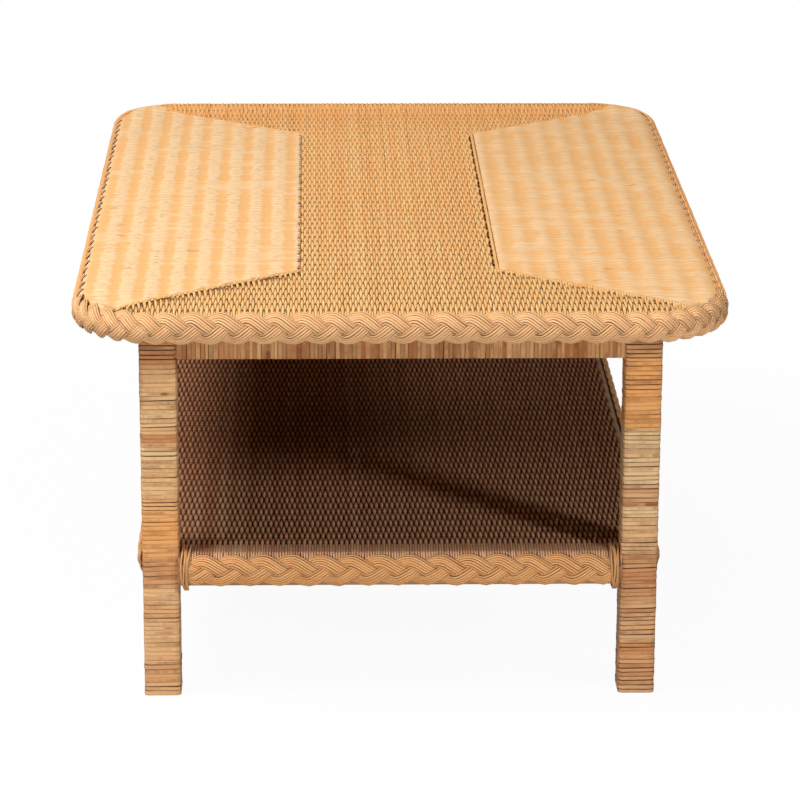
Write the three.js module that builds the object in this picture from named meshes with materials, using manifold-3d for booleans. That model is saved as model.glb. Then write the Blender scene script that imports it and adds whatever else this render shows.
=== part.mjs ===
// Rattan coffee table with a lower shelf, in millimetres and +Z up.
// The origin lies on the floor under the middle of the top, and +Y runs along the table's length.
import * as THREE from 'three';
import { mergeVertices } from 'three/addons/utils/BufferGeometryUtils.js';
import Module from 'manifold-3d';

const wasm = await Module();
wasm.setup();

// Whole table, measured over the plaited edging
const table_length = 1000;
const table_width = 700;
const table_height = 450;
const top_corner_radius = 100;

// Fits
const clearance = 0.3;
const overrun = 4;

// Legs: hardwood posts bound with rattan peel, on nailed glides
const side_overhang = 72;
const end_overhang = 60;
const post_width = 36;
const post_edge_radius = 3;
const leg_binding_thickness = 2;
const glide_height = 3;
const glide_diameter = 14;
const glide_face_diameter = 9;
const glide_pin_diameter = 3;
const glide_pin_length = 15;

// Top: a woven skin on a board, with a bent pole round the edge
const weave_thickness = 5;
const weave_row_pitch = 39.4;
const weave_row_width = 9;
const weave_row_depth = 2;
const board_thickness = 9;
const hoop_diameter = 28;
const bearer_width = 40;
const bearer_height = 20;
const bearer_distance = 356;

// Inlay panels: trapezoids whose short edge faces the middle
const seam_from_middle = 107;
const inlay_short_edge = 644;
const inlay_corner_from_middle = 299;
const inlay_long_edge = 928;
const seam_strip_width = 5;
const inlay_rib_pitch = 26.5;
const inlay_rib_rise = 1.4;

// Three-strand plait: a ply's width and sway are measured straight across the edge
const ply_width = 13;
const ply_thickness = 1.6;
const ply_sway_width = 11.8;
const top_lobe_pitch = 29;
const shelf_lobe_pitch = 31.8;

// Aprons: rails tenoned into the posts and bound with peel
const apron_height = 54.5;
const apron_thickness = 23.6;
const apron_setback = 2;
const apron_binding_thickness = 1.8;
const apron_edge_radius = 3.5;
const apron_tenon_height = 30;
const apron_tenon_thickness = 8;
const tenon_length = 14;

// Shelf: rails with a rounded nose, slats, a woven deck, plaits and lashings
const shelf_middle_height = 143;
const shelf_rail_height = 34;
const shelf_rail_thickness = 26;
const shelf_nose_radius = 26;
const shelf_nose_reach = 1;
const shelf_tenon_height = 20;
const shelf_tenon_thickness = 12;
const slat_width = 60;
const slat_thickness = 12;
const slat_spacing = 220;
const deck_edge_inset = 6;
const plait_end_length = 6;
const lashing_width = 7;
const lashing_thickness = 2.5;
const lashing_from_leg = 2.5;

// How finely round forms are cut
const corner_steps = 4;
const edge_steps = 1;
const hoop_sides = 12;
const glide_sides = 8;
const nose_steps = 4;
const rib_steps = 6;
const plies = 3;
const plait_cycle = 6;

// Levels and distances that follow from the sizes above
const weave_bottom = table_height - weave_thickness;
const board_bottom = weave_bottom - board_thickness;
const frame_top = board_bottom - clearance;
const half_length = table_length / 2;
const half_width = table_width / 2;
const leg_width = post_width + 2 * leg_binding_thickness;
const leg_face = { side: half_width - side_overhang, end: half_length - end_overhang };
const hoop_radius = hoop_diameter / 2;

// Plies cross on a round edge, so each layer also leaves room for the hollow under a flat ply
const ply_round = hoop_radius + 2 * ply_thickness;
const ply_hollow = ply_width ** 2 / (8 * ply_round);
const ply_step = ply_thickness + ply_hollow + clearance;
const plait_middle = ply_step + ply_hollow + ply_thickness / 2 + clearance;
const plait_reach = plait_middle + ply_step + ply_thickness / 2;
const rim_reach = hoop_radius + plait_middle + ply_step;
const hoop_height = weave_bottom - clearance - hoop_radius;
const hoop_half_width = half_width - rim_reach;
const hoop_half_length = half_length - rim_reach;
const hoop_corner_radius = top_corner_radius - rim_reach;

const table = new THREE.Group();

function material(colour, roughness, metalness = 0) {
  return new THREE.MeshStandardMaterial({ color: colour, roughness, metalness });
}

const core_colour = '#e2ad70';
const inlay_colour = '#f3cd95';
const plait_colour = '#dcaa74';
const peel_colour = '#cf9f68';
const pole_colour = '#c79a62';
const hardwood_colour = '#b1875a';
const plywood_colour = '#cfae80';
const glide_colour = '#2a2622';

// Puts a named piece into a group
function piece(group, name, geometry, colour, roughness = 0.6, metalness = 0) {
  const mesh = new THREE.Mesh(geometry, material(colour, roughness, metalness));
  mesh.name = name;
  group.add(mesh);
  return mesh;
}

// Closed mesh to solid, and back
function solidOf(geometry) {
  const bare = geometry.clone();
  bare.deleteAttribute('normal');
  bare.deleteAttribute('uv');
  const merged = mergeVertices(bare);
  const vertProperties = merged.attributes.position.array;
  const triVerts = new Uint32Array(merged.index.array);
  return new wasm.Manifold(new wasm.Mesh({ numProp: 3, vertProperties, triVerts }));
}

function geometryOf(solid) {
  const mesh = solid.getMesh();
  const geometry = new THREE.BufferGeometry();
  geometry.setAttribute('position', new THREE.BufferAttribute(new Float32Array(mesh.vertProperties), 3));
  geometry.setIndex(new THREE.BufferAttribute(new Uint32Array(mesh.triVerts), 1));
  const faceted = geometry.toNonIndexed();
  faceted.computeVertexNormals();
  return faceted;
}

function cut(geometry, ...tools) {
  return geometryOf(tools.reduce((body, tool) => body.subtract(solidOf(tool)), solidOf(geometry)));
}

function meet(geometry, other) {
  return geometryOf(solidOf(geometry).intersect(solidOf(other)));
}

function join(...geometries) {
  const solids = geometries.map(solidOf);
  return geometryOf(solids.reduce((body, next) => body.add(next)));
}

function box(width, depth, height, x, y, z) {
  return new THREE.BoxGeometry(width, depth, height).translate(x, y, z);
}

function roundedRectangle(width, height, radius) {
  const right = width / 2 - radius;
  const top = height / 2 - radius;
  const quarter = Math.PI / 2;
  const shape = new THREE.Shape();
  shape.absarc(right, -top, radius, -quarter, 0);
  shape.absarc(right, top, radius, 0, quarter);
  shape.absarc(-right, top, radius, quarter, 2 * quarter);
  shape.absarc(-right, -top, radius, 2 * quarter, 3 * quarter);
  shape.closePath();
  return shape;
}

// A flat plate of a shape, from one level up
function plate(shape, bottom, thickness, curveSegments = edge_steps) {
  const options = { depth: thickness, bevelEnabled: false, curveSegments };
  return new THREE.ExtrudeGeometry(shape, options).translate(0, 0, bottom);
}

// A bar along Y whose section is drawn with +X outward and +Z up
function bar(shape, length, curveSegments = edge_steps) {
  const options = { depth: length, bevelEnabled: false, curveSegments };
  const geometry = new THREE.ExtrudeGeometry(shape, options).translate(0, 0, -length / 2);
  return geometry.rotateX(Math.PI / 2);
}

// Skins a row of like sections, each a loop of points, as one closed body; each patch of four
// points is split along its shorter diagonal, which keeps a slanting ply close to its round edge
function loft(sections, isRing) {
  const sides = sections[0].length;
  const points = sections.flat();
  const index = [];
  const spans = isRing ? sections.length : sections.length - 1;
  for (let span = 0; span < spans; span++) {
    const here = span * sides;
    const next = ((span + 1) % sections.length) * sides;
    for (let side = 0; side < sides; side++) {
      const beside = (side + 1) % sides;
      const [a, b, c, d] = [here + side, here + beside, next + beside, next + side];
      const isShorter = points[a].distanceTo(points[c]) < points[b].distanceTo(points[d]);
      index.push(...(isShorter ? [a, b, c, a, c, d] : [a, b, d, b, c, d]));
    }
  }
  if (!isRing) {
    const last = (sections.length - 1) * sides;
    for (let side = 1; side < sides - 1; side++) {
      index.push(0, side + 1, side);
      index.push(last, last + side, last + side + 1);
    }
  }
  const geometry = new THREE.BufferGeometry().setFromPoints(points);
  geometry.setIndex(index);
  return geometry;
}

// A ply's way through one cycle of the plait: across it, and in or out of it
function plyAt(station) {
  const turn = (Math.PI * (2 * station + 1)) / plait_cycle;
  const shoulder = Math.PI / plait_cycle;
  return {
    across: (ply_sway_width * Math.cos(turn)) / Math.cos(shoulder),
    lift: (ply_step * Math.sin(2 * turn)) / Math.sin(2 * shoulder),
  };
}

// One ply as sections along an edge: edgePoint(run, across, out) gives a point of the plait
function plySections(ply, stations, step, edgePoint) {
  const corners = [[-1, -1], [1, -1], [1, 1], [-1, 1]];
  const sections = [];
  for (let station = 0; station < stations; station++) {
    const { across, lift } = plyAt(station + 2 * ply);
    sections.push(corners.map(([edge, face]) => {
      const out = lift + (face * ply_thickness) / 2;
      return edgePoint(station * step, across + (edge * ply_width) / 2, out);
    }));
  }
  return sections;
}

// The hoop's line: a rounded rectangle walked from the near left corner, counterclockwise from above
const rim_corner_x = hoop_half_width - hoop_corner_radius;
const rim_corner_y = hoop_half_length - hoop_corner_radius;
const rim_corner_run = ((hoop_corner_radius + hoop_radius + plait_middle) * Math.PI) / 2;
const rim_run = 4 * (rim_corner_x + rim_corner_y + rim_corner_run);

function rimAt(run) {
  let left = ((run % rim_run) + rim_run) % rim_run;
  for (let side = 0; side < 4; side++) {
    const turn = (Math.PI / 2) * side - Math.PI / 2;
    const outward = new THREE.Vector3(Math.cos(turn), Math.sin(turn), 0);
    const along = new THREE.Vector3(-outward.y, outward.x, 0);
    const isEnd = side % 2 === 0;
    const straight = isEnd ? 2 * rim_corner_x : 2 * rim_corner_y;
    const depth = isEnd ? rim_corner_y : rim_corner_x;
    const corner = outward.clone().multiplyScalar(depth).addScaledVector(along, -straight / 2);
    if (left <= straight) {
      const point = corner.addScaledVector(along, left).addScaledVector(outward, hoop_corner_radius);
      return { point, outward };
    }
    left -= straight;
    if (left <= rim_corner_run) {
      const angle = turn + (Math.PI / 2) * (left / rim_corner_run);
      const direction = new THREE.Vector3(Math.cos(angle), Math.sin(angle), 0);
      const point = corner.addScaledVector(along, straight).addScaledVector(direction, hoop_corner_radius);
      return { point, outward: direction };
    }
    left -= rim_corner_run;
  }
  return rimAt(0);
}

// A point on the rolled edge: out from the hoop's middle, at an angle set by the way across
function rimPoint(run, across, out) {
  const { point, outward } = rimAt(run);
  const reach = hoop_radius + plait_middle;
  const angle = across / reach;
  const radius = reach + out;
  point.addScaledVector(outward, radius * Math.cos(angle));
  point.z = hoop_height + radius * Math.sin(angle);
  return point;
}

function edgeHoop() {
  const sections = [];
  const straights = [2 * rim_corner_x, 2 * rim_corner_y, 2 * rim_corner_x, 2 * rim_corner_y];
  let run = 0;
  for (const straight of straights) {
    run += straight;
    for (let step = 0; step <= 2 * corner_steps; step++) {
      const { point, outward } = rimAt(run + (rim_corner_run * step) / (2 * corner_steps));
      const section = [];
      for (let side = 0; side < hoop_sides; side++) {
        const angle = (2 * Math.PI * side) / hoop_sides;
        const spot = point.clone().addScaledVector(outward, -hoop_radius * Math.cos(angle));
        spot.z = hoop_height + hoop_radius * Math.sin(angle);
        section.push(spot);
      }
      sections.push(section);
    }
    run += rim_corner_run;
  }
  return loft(sections, true);
}

// The plait round the top: three closed plies that pass over and under each other
function edgePlait(group) {
  const lobes = plies * Math.round(rim_run / (plies * top_lobe_pitch));
  const stations = 2 * lobes;
  const step = rim_run / stations;
  for (let ply = 0; ply < plies; ply++) {
    const geometry = loft(plySections(ply, stations, step, rimPoint), true);
    piece(group, `edge_plait_ply_${ply + 1}`, geometry, plait_colour);
  }
}

// The top's board, and the outline of the woven skin inside the plait's upper edge
function topBoard() {
  const rest = Math.sqrt(hoop_radius ** 2 - (board_bottom - hoop_height) ** 2) + clearance;
  const width = 2 * (hoop_half_width - rest);
  const length = 2 * (hoop_half_length - rest);
  const radius = hoop_corner_radius - rest;
  return plate(roundedRectangle(width, length, radius), board_bottom, board_thickness, corner_steps);
}

const plait_edge_angle = (ply_sway_width + ply_width / 2) / (hoop_radius + plait_middle);
const skin_inset = rim_reach - (hoop_radius + clearance) * Math.cos(plait_edge_angle) + clearance;
const skin_corner_radius = top_corner_radius - skin_inset;

function topSkin() {
  const shape = roundedRectangle(table_width - 2 * skin_inset, table_length - 2 * skin_inset, skin_corner_radius);
  return plate(shape, weave_bottom, weave_thickness, corner_steps);
}

// The ground of an inlay as seen from above, grown by an offset all round; side is -1 or 1
function inlayGround(side, offset, bottom, thickness) {
  const rise_x = inlay_corner_from_middle - seam_from_middle;
  const rise_y = (inlay_long_edge - inlay_short_edge) / 2;
  const slant = Math.hypot(rise_x, rise_y);
  const inner_x = seam_from_middle - offset;
  const inner_y = inlay_short_edge / 2 + (offset * (slant - rise_y)) / rise_x;
  const outer_x = table_width;
  const outer_y = inner_y + ((outer_x - inner_x) * rise_y) / rise_x;
  const outline = [[inner_x, -inner_y], [outer_x, -outer_y], [outer_x, outer_y], [inner_x, inner_y]];
  const points = outline.map(([x, y]) => new THREE.Vector2(side * x, y));
  return plate(new THREE.Shape(points), bottom, thickness);
}

// A slab whose top rises over low ribs that run along the table
function ribbedSlab(side) {
  const ribs = Math.ceil((half_width - seam_from_middle) / inlay_rib_pitch) + 1;
  const start = seam_from_middle + seam_strip_width - inlay_rib_pitch / 2;
  const shape = new THREE.Shape();
  shape.moveTo(start, weave_bottom);
  for (let step = 0; step <= ribs * rib_steps; step++) {
    const wave = (1 + Math.cos((2 * Math.PI * step) / rib_steps)) / 2;
    const level = table_height - inlay_rib_rise * wave;
    shape.lineTo(start + (inlay_rib_pitch * step) / rib_steps, level);
  }
  shape.lineTo(start + ribs * inlay_rib_pitch, weave_bottom);
  shape.closePath();
  const slab = bar(shape, table_length);
  return side < 0 ? slab.rotateZ(Math.PI) : slab;
}

// A slab crossed by shallow rows, where the strands of a weave dip between every other stake
function rowedSlab(length, bottom, top) {
  const rows = 2 * Math.ceil(length / (2 * weave_row_pitch)) + 1;
  const start = (-rows * weave_row_pitch) / 2;
  const shape = new THREE.Shape();
  shape.moveTo(start, bottom);
  for (let row = 0; row < rows; row++) {
    const left = start + row * weave_row_pitch;
    shape.lineTo(left, top - weave_row_depth);
    shape.lineTo(left + weave_row_width / 2, top);
    shape.lineTo(left + weave_row_pitch - weave_row_width / 2, top);
  }
  shape.lineTo(-start, top - weave_row_depth);
  shape.lineTo(-start, bottom);
  shape.closePath();
  return bar(shape, table_width).rotateZ(Math.PI / 2);
}

function topSurface(group) {
  const seam = seam_strip_width / 2;
  const bottom = weave_bottom - overrun;
  const thickness = weave_thickness + 2 * overrun;
  const skin = topSkin();
  const grounds = [-1, 1].map((side) => inlayGround(side, seam + clearance, bottom, thickness));
  const rowed = meet(skin, rowedSlab(table_length, bottom, table_height));
  piece(group, 'woven_field', cut(rowed, ...grounds), core_colour);
  for (const [side, name] of [[-1, 'left'], [1, 'right']]) {
    const ground = inlayGround(side, -seam - clearance, bottom, thickness);
    const inlay = meet(meet(skin, ribbedSlab(side)), ground);
    piece(group, `inlay_${name}`, inlay, inlay_colour, 0.45);
    const inside = inlayGround(side, -seam, bottom - overrun, thickness + 2 * overrun);
    const band = cut(inlayGround(side, seam, bottom, thickness), inside);
    piece(group, `seam_strip_${name}`, meet(skin, band), core_colour);
  }
}

// Frame of the top: bearers across, under the board
function topBearers(group) {
  const length = 2 * (leg_face.side - apron_setback - apron_thickness - clearance);
  for (const [side, name] of [[-1, 'front'], [1, 'back']]) {
    const y = (side * bearer_distance) / 2;
    const geometry = box(length, bearer_width, bearer_height, 0, y, frame_top - bearer_height / 2);
    piece(group, `top_bearer_${name}`, geometry, hardwood_colour);
  }
}

// Where a rail's middle lies, in from the leg's outer face
const apron_from_face = apron_setback + apron_thickness / 2;
const shelf_from_face = shelf_rail_thickness / 2 - shelf_nose_reach;
const apron_rail_thickness = apron_thickness - 2 * apron_binding_thickness;
const apron_rail_height = apron_height - 2 * apron_binding_thickness;
const apron_middle_height = frame_top - apron_height / 2;

// The shelf rail's section: flat behind, above and below, with a rounded nose outward
function shelfRailShape(grow) {
  const back = -shelf_rail_thickness / 2 - grow;
  const centre = shelf_rail_thickness / 2 - shelf_nose_radius;
  const radius = shelf_nose_radius + grow;
  const top = shelf_rail_height / 2 + grow;
  const angle = Math.asin(top / radius);
  const shape = new THREE.Shape();
  shape.moveTo(back, top);
  shape.lineTo(back, -top);
  shape.absarc(centre, 0, radius, -angle, angle);
  shape.closePath();
  return shape;
}

function apronRailShape(grow) {
  const right = apron_rail_thickness / 2 + grow;
  const top = apron_rail_height / 2 + grow;
  const corners = [[-right, -top], [right, -top], [right, top], [-right, top]];
  return new THREE.Shape(corners.map(([x, z]) => new THREE.Vector2(x, z)));
}

// A leg, drawn about its post's middle with its outer faces towards +X and +Y
function legGeometries() {
  const bottom = glide_height;
  const height = frame_top - bottom;
  const half_post = post_width / 2;
  const post = plate(roundedRectangle(post_width, post_width, post_edge_radius), bottom, height);
  const bound = roundedRectangle(leg_width, leg_width, post_edge_radius + leg_binding_thickness);
  const inside = post_width + 2 * clearance;
  bound.holes.push(roundedRectangle(inside, inside, post_edge_radius + clearance));
  const binding = plate(bound, bottom, height);

  const to_rail = leg_width / 2;
  const mortise_middle = half_post - tenon_length / 2;
  const joints = [
    [to_rail - apron_from_face, apron_middle_height, apron_tenon_thickness, apron_tenon_height, apronRailShape],
    [to_rail - shelf_from_face, shelf_middle_height, shelf_tenon_thickness, shelf_tenon_height, shelfRailShape],
  ];
  const mortises = [];
  const windows = [];
  for (const [offset, level, thickness, tall, shape] of joints) {
    const wide = thickness + 2 * clearance;
    const deep = tenon_length + 2 * clearance;
    const high = tall + 2 * clearance;
    mortises.push(box(wide, deep, high, offset, -mortise_middle - clearance / 2, level));
    mortises.push(box(deep, wide, high, -mortise_middle - clearance / 2, offset, level));
    const reach = leg_width / 2 - half_post + overrun + clearance;
    const middle = half_post - clearance / 2 + reach / 2;
    const window = bar(shape(clearance), reach, nose_steps);
    windows.push(window.clone().translate(offset, -middle, level));
    windows.push(window.clone().rotateZ(Math.PI / 2).translate(-middle, offset, level));
  }
  const pin = new THREE.CylinderGeometry(glide_pin_diameter / 2 + clearance, glide_pin_diameter / 2 + clearance,
    glide_pin_length + overrun, glide_sides);
  pin.rotateX(Math.PI / 2).translate(0, 0, glide_height + (glide_pin_length - overrun) / 2 + clearance);
  return { post: cut(post, ...mortises, pin), binding: cut(binding, ...windows) };
}

// A glide: a domed head on a pin that is driven into the post
function glideGeometry() {
  const pin = glide_pin_diameter / 2;
  const head_top = glide_height - clearance;
  const profile = [
    [0, 0],
    [glide_face_diameter / 2, 0],
    [glide_diameter / 2, head_top / 2],
    [glide_diameter / 2, head_top],
    [pin, head_top],
    [pin, head_top + glide_pin_length - pin],
    [0, head_top + glide_pin_length],
  ];
  const points = profile.map(([radius, level]) => new THREE.Vector2(radius, level));
  return new THREE.LatheGeometry(points, glide_sides).rotateX(Math.PI / 2);
}

function legs() {
  const { post, binding } = legGeometries();
  const glide = glideGeometry();
  const corners = [
    ['back_right', 1, 1, 0],
    ['back_left', -1, 1, 1],
    ['front_left', -1, -1, 2],
    ['front_right', 1, -1, 3],
  ];
  for (const [name, side, end, quarter_turns] of corners) {
    const leg = new THREE.Group();
    leg.position.x = side * (leg_face.side - leg_width / 2);
    leg.position.y = end * (leg_face.end - leg_width / 2);
    leg.rotation.z = (quarter_turns * Math.PI) / 2;
    piece(leg, `leg_post_${name}`, post.clone(), hardwood_colour);
    piece(leg, `leg_binding_${name}`, binding.clone(), peel_colour, 0.5);
    piece(leg, `leg_glide_${name}`, glide.clone(), glide_colour, 0.4);
    table.add(leg);
  }
}

// A rail with a tenon at each end, about its own middle
function tenonedRail(shape, tenon_thickness, tenon_height, between_posts) {
  const rail = bar(shape, between_posts - 2 * clearance, nose_steps);
  const tenon = box(tenon_thickness, between_posts + 2 * tenon_length, tenon_height, 0, 0, 0);
  return join(rail, tenon);
}

function apronBinding(length) {
  const bound = roundedRectangle(apron_thickness, apron_height, apron_edge_radius);
  bound.holes.push(apronRailShape(clearance));
  return bar(bound, length);
}

// The plait on a straight shelf rail, drawn about the rail's middle
const nose_centre = shelf_rail_thickness / 2 - shelf_nose_radius;
const nose_reach = shelf_nose_radius + plait_middle;

function nosePoint(run, across, out) {
  const angle = across / nose_reach;
  const radius = nose_reach + out;
  return new THREE.Vector3(nose_centre + radius * Math.cos(angle), run, radius * Math.sin(angle));
}

function plaitEnd() {
  const inner = shelf_nose_radius + clearance;
  const outer = shelf_nose_radius + plait_reach;
  const angle = (ply_sway_width + ply_width / 2) / nose_reach;
  const shape = new THREE.Shape();
  shape.absarc(nose_centre, 0, outer, -angle, angle);
  shape.absarc(nose_centre, 0, inner, angle, -angle, true);
  shape.closePath();
  return bar(shape, plait_end_length, nose_steps);
}

function shelfPlait(length) {
  const lobes = Math.round(length / shelf_lobe_pitch);
  const stations = 2 * lobes + 1;
  const step = (length - plait_end_length) / (stations - 1);
  const strands = [];
  for (let ply = 0; ply < plies; ply++) {
    const sections = plySections(ply, stations, step, nosePoint);
    strands.push(loft(sections, false).translate(0, (plait_end_length - length) / 2, 0));
  }
  const reach = (length - plait_end_length) / 2;
  const ends = [-reach, reach].map((y) => plaitEnd().translate(0, y, 0));
  const trimmed = meet(join(...ends, ...strands), box(table_height, length, table_height, 0, 0, 0));
  return trimmed;
}

// A lashing round the rail, the plait's end and the deck, drawn about the rail's middle
const deck_top = shelf_rail_height / 2 + weave_thickness;
const plait_foot_angle = (ply_sway_width + ply_width / 2) / nose_reach;
const plait_foot = (nose_reach + ply_step + ply_thickness / 2) * Math.sin(plait_foot_angle);
const lashing_back = -shelf_rail_thickness / 2 - clearance;

function lashingOutline(path, grow) {
  const radius = shelf_nose_radius + plait_reach + clearance + grow;
  const top = deck_top + clearance + grow;
  const foot = plait_foot + clearance + grow;
  path.moveTo(lashing_back - grow, top);
  path.lineTo(lashing_back - grow, -foot);
  path.absarc(nose_centre, 0, radius, -Math.asin(foot / radius), Math.asin(top / radius));
  path.closePath();
  return path;
}

function lashing() {
  const shape = lashingOutline(new THREE.Shape(), lashing_thickness);
  shape.holes.push(lashingOutline(new THREE.Path(), 0));
  return bar(shape, lashing_width, nose_steps);
}

const lashing_from_end = lashing_from_leg + lashing_width / 2;

// One side of the frame: apron, shelf rail, plait and lashings, with +X outward
const sides = [
  { name: 'right', turn: 0, face: leg_face.side, span: 2 * leg_face.end, ends: ['front', 'back'] },
  { name: 'back', turn: 1, face: leg_face.end, span: 2 * leg_face.side, ends: ['right', 'left'] },
  { name: 'left', turn: 2, face: leg_face.side, span: 2 * leg_face.end, ends: ['back', 'front'] },
  { name: 'front', turn: 3, face: leg_face.end, span: 2 * leg_face.side, ends: ['left', 'right'] },
];

function frameSide({ name, turn, face, span, ends }) {
  const between_posts = span - 2 * (leg_width - leg_binding_thickness);
  const between_legs = span - 2 * (leg_width + clearance);
  const side = new THREE.Group();
  side.rotation.z = (turn * Math.PI) / 2;
  const apron_place = new THREE.Vector3(face - apron_from_face, 0, apron_middle_height);
  const shelf_place = new THREE.Vector3(face - shelf_from_face, 0, shelf_middle_height);

  const rail = tenonedRail(apronRailShape(0), apron_tenon_thickness, apron_tenon_height, between_posts);
  piece(side, `apron_rail_${name}`, rail, hardwood_colour).position.copy(apron_place);
  const bound = apronBinding(between_legs);
  piece(side, `apron_binding_${name}`, bound, peel_colour, 0.5).position.copy(apron_place);

  const shelf = tenonedRail(shelfRailShape(0), shelf_tenon_thickness, shelf_tenon_height, between_posts);
  piece(side, `shelf_rail_${name}`, shelf, hardwood_colour).position.copy(shelf_place);
  piece(side, `shelf_plait_${name}`, shelfPlait(between_legs), plait_colour).position.copy(shelf_place);
  for (const [index, end] of ends.entries()) {
    const y = (2 * index - 1) * (between_legs / 2 - lashing_from_end);
    const loop = piece(side, `lashing_${name}_at_${end}`, lashing(), plait_colour);
    loop.position.copy(shelf_place).setY(y);
  }
  table.add(side);
}

// The woven deck: out to the noses of the rails, notched round the legs, slotted for the lashings
function deckEdge(face) {
  return face + shelf_nose_reach - deck_edge_inset - clearance;
}

function shelfWeave() {
  const wide = deckEdge(leg_face.side);
  const long = deckEdge(leg_face.end);
  const notch_x = leg_face.side - leg_width - clearance;
  const notch_y = leg_face.end - leg_width - clearance;
  const quarter = [[wide, notch_y], [notch_x, notch_y], [notch_x, long]];
  const mirrored = quarter.map(([x, y]) => [-x, y]).reverse();
  const far = [...quarter, ...mirrored];
  const near = far.map(([x, y]) => [-x, -y]);
  const shape = new THREE.Shape([...far, ...near].map(([x, y]) => new THREE.Vector2(x, y)));
  const bottom = shelf_middle_height + shelf_rail_height / 2 + clearance;
  const deck = plate(shape, bottom, weave_thickness - 2 * clearance);
  const slots = sides.flatMap(({ turn, face, span }) => {
    const reach = span / 2 - leg_width - clearance - lashing_from_end;
    const middle = face - shelf_from_face + lashing_back - lashing_thickness / 2;
    const slot = [lashing_thickness + 2 * clearance, lashing_width + 2 * clearance, weave_thickness + 2 * overrun];
    return [-reach, reach].map((y) => box(...slot, middle, y, bottom).rotateZ((turn * Math.PI) / 2));
  });
  const top = bottom + weave_thickness - 2 * clearance;
  return cut(meet(deck, rowedSlab(table_length, bottom - overrun, top)), ...slots);
}

function shelfSlats(group) {
  const inner_face = leg_face.side + shelf_nose_reach - shelf_rail_thickness;
  const length = 2 * (inner_face - clearance);
  const level = shelf_middle_height + (shelf_rail_height - slat_thickness) / 2;
  for (const [place, name] of [[-1, 'front'], [0, 'middle'], [1, 'back']]) {
    const geometry = box(length, slat_width, slat_thickness, 0, place * slat_spacing, level);
    piece(group, `shelf_slat_${name}`, geometry, hardwood_colour);
  }
}

legs();
sides.forEach(frameSide);
topBearers(table);
piece(table, 'top_board', topBoard(), plywood_colour, 0.7);
piece(table, 'edge_hoop', edgeHoop(), pole_colour, 0.5);
topSurface(table);
edgePlait(table);
shelfSlats(table);
piece(table, 'shelf_weave', shelfWeave(), core_colour);

export default table;
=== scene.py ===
import bpy
import math
import numpy as np
from mathutils import Matrix, Vector


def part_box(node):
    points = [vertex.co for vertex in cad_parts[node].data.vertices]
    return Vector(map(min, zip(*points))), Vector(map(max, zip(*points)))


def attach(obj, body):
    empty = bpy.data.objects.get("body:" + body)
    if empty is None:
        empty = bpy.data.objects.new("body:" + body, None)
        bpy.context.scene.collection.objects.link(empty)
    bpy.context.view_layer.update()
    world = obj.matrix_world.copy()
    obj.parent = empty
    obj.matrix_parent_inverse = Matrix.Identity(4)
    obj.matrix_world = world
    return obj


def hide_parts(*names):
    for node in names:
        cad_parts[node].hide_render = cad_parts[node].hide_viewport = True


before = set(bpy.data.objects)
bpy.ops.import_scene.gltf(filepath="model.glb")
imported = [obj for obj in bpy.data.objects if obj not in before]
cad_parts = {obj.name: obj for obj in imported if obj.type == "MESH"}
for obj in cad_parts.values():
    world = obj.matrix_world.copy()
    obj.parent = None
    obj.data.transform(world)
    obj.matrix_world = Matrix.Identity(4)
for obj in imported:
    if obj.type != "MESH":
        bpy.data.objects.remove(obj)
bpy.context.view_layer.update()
bpy.ops.object.select_all(action="DESELECT")


# The studio: a low table seen from just off one short end and a little above it, on a pale
# floor that fades into white. A soft lamp hangs at the upper left, a wide one stands low in
# front, and a small one lights the right side.
bpy.ops.object.camera_add()
camera = bpy.context.object
camera.data.lens, camera.data.sensor_width = 157.70, 36.0
camera.data.clip_start, camera.data.clip_end = 0.1, 100.0
turned, tipped, rolled = -1.4811, 90 - 17.434, 0.245
camera.matrix_world = (
    Matrix.Translation((-0.09296, -3.99074, 1.45243))
    @ Matrix.Rotation(math.radians(turned), 4, "Z")
    @ Matrix.Rotation(math.radians(tipped), 4, "X")
    @ Matrix.Rotation(math.radians(rolled), 4, "Z")
)
bpy.context.scene.camera = camera
for name, place, aim, width, height, power in (
    ("overhead_softbox", (-1.50, -0.85, 3.10), (0.0, 0.0, 0.40), 1.1, 1.1, 100),
    ("low_front_fill", (-0.90, -4.60, 0.27), (0.0, -0.30, 0.25), 2.4, 0.4, 88),
    ("right_lamp", (2.41, -2.58, 1.95), (0.0, 0.0, 0.25), 0.5, 0.5, 40),
):
    bpy.ops.object.light_add(type="AREA", location=place)
    lamp = bpy.context.object
    lamp.name = name
    lamp.data.shape = "RECTANGLE"
    lamp.data.size, lamp.data.size_y, lamp.data.energy = width, height, power
    lamp.rotation_euler = (Vector(aim) - Vector(place)).to_track_quat("-Z", "Y").to_euler()


class Pattern:
    """A socket of a finish. Sums and products of patterns add the finish's Math nodes."""

    def __init__(self, finish, socket):
        self.finish, self.socket = finish, socket

    def maths(self, operation, *values, clamp=False):
        sockets = dict(enumerate(values))
        return self.finish.node("ShaderNodeMath", sockets, operation=operation, use_clamp=clamp)

    def __add__(self, other):
        return self.maths("ADD", self, other)

    def __sub__(self, other):
        return self.maths("SUBTRACT", self, other)

    def __mul__(self, other):
        return self.maths("MULTIPLY", self, other)

    def sine(self):
        return self.maths("SINE", self)

    def held(self, low, high):
        """What lies between low and high, spread from 0 to 1 and no further."""
        return self.maths("DIVIDE", self - low, high - low, clamp=True)


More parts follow.
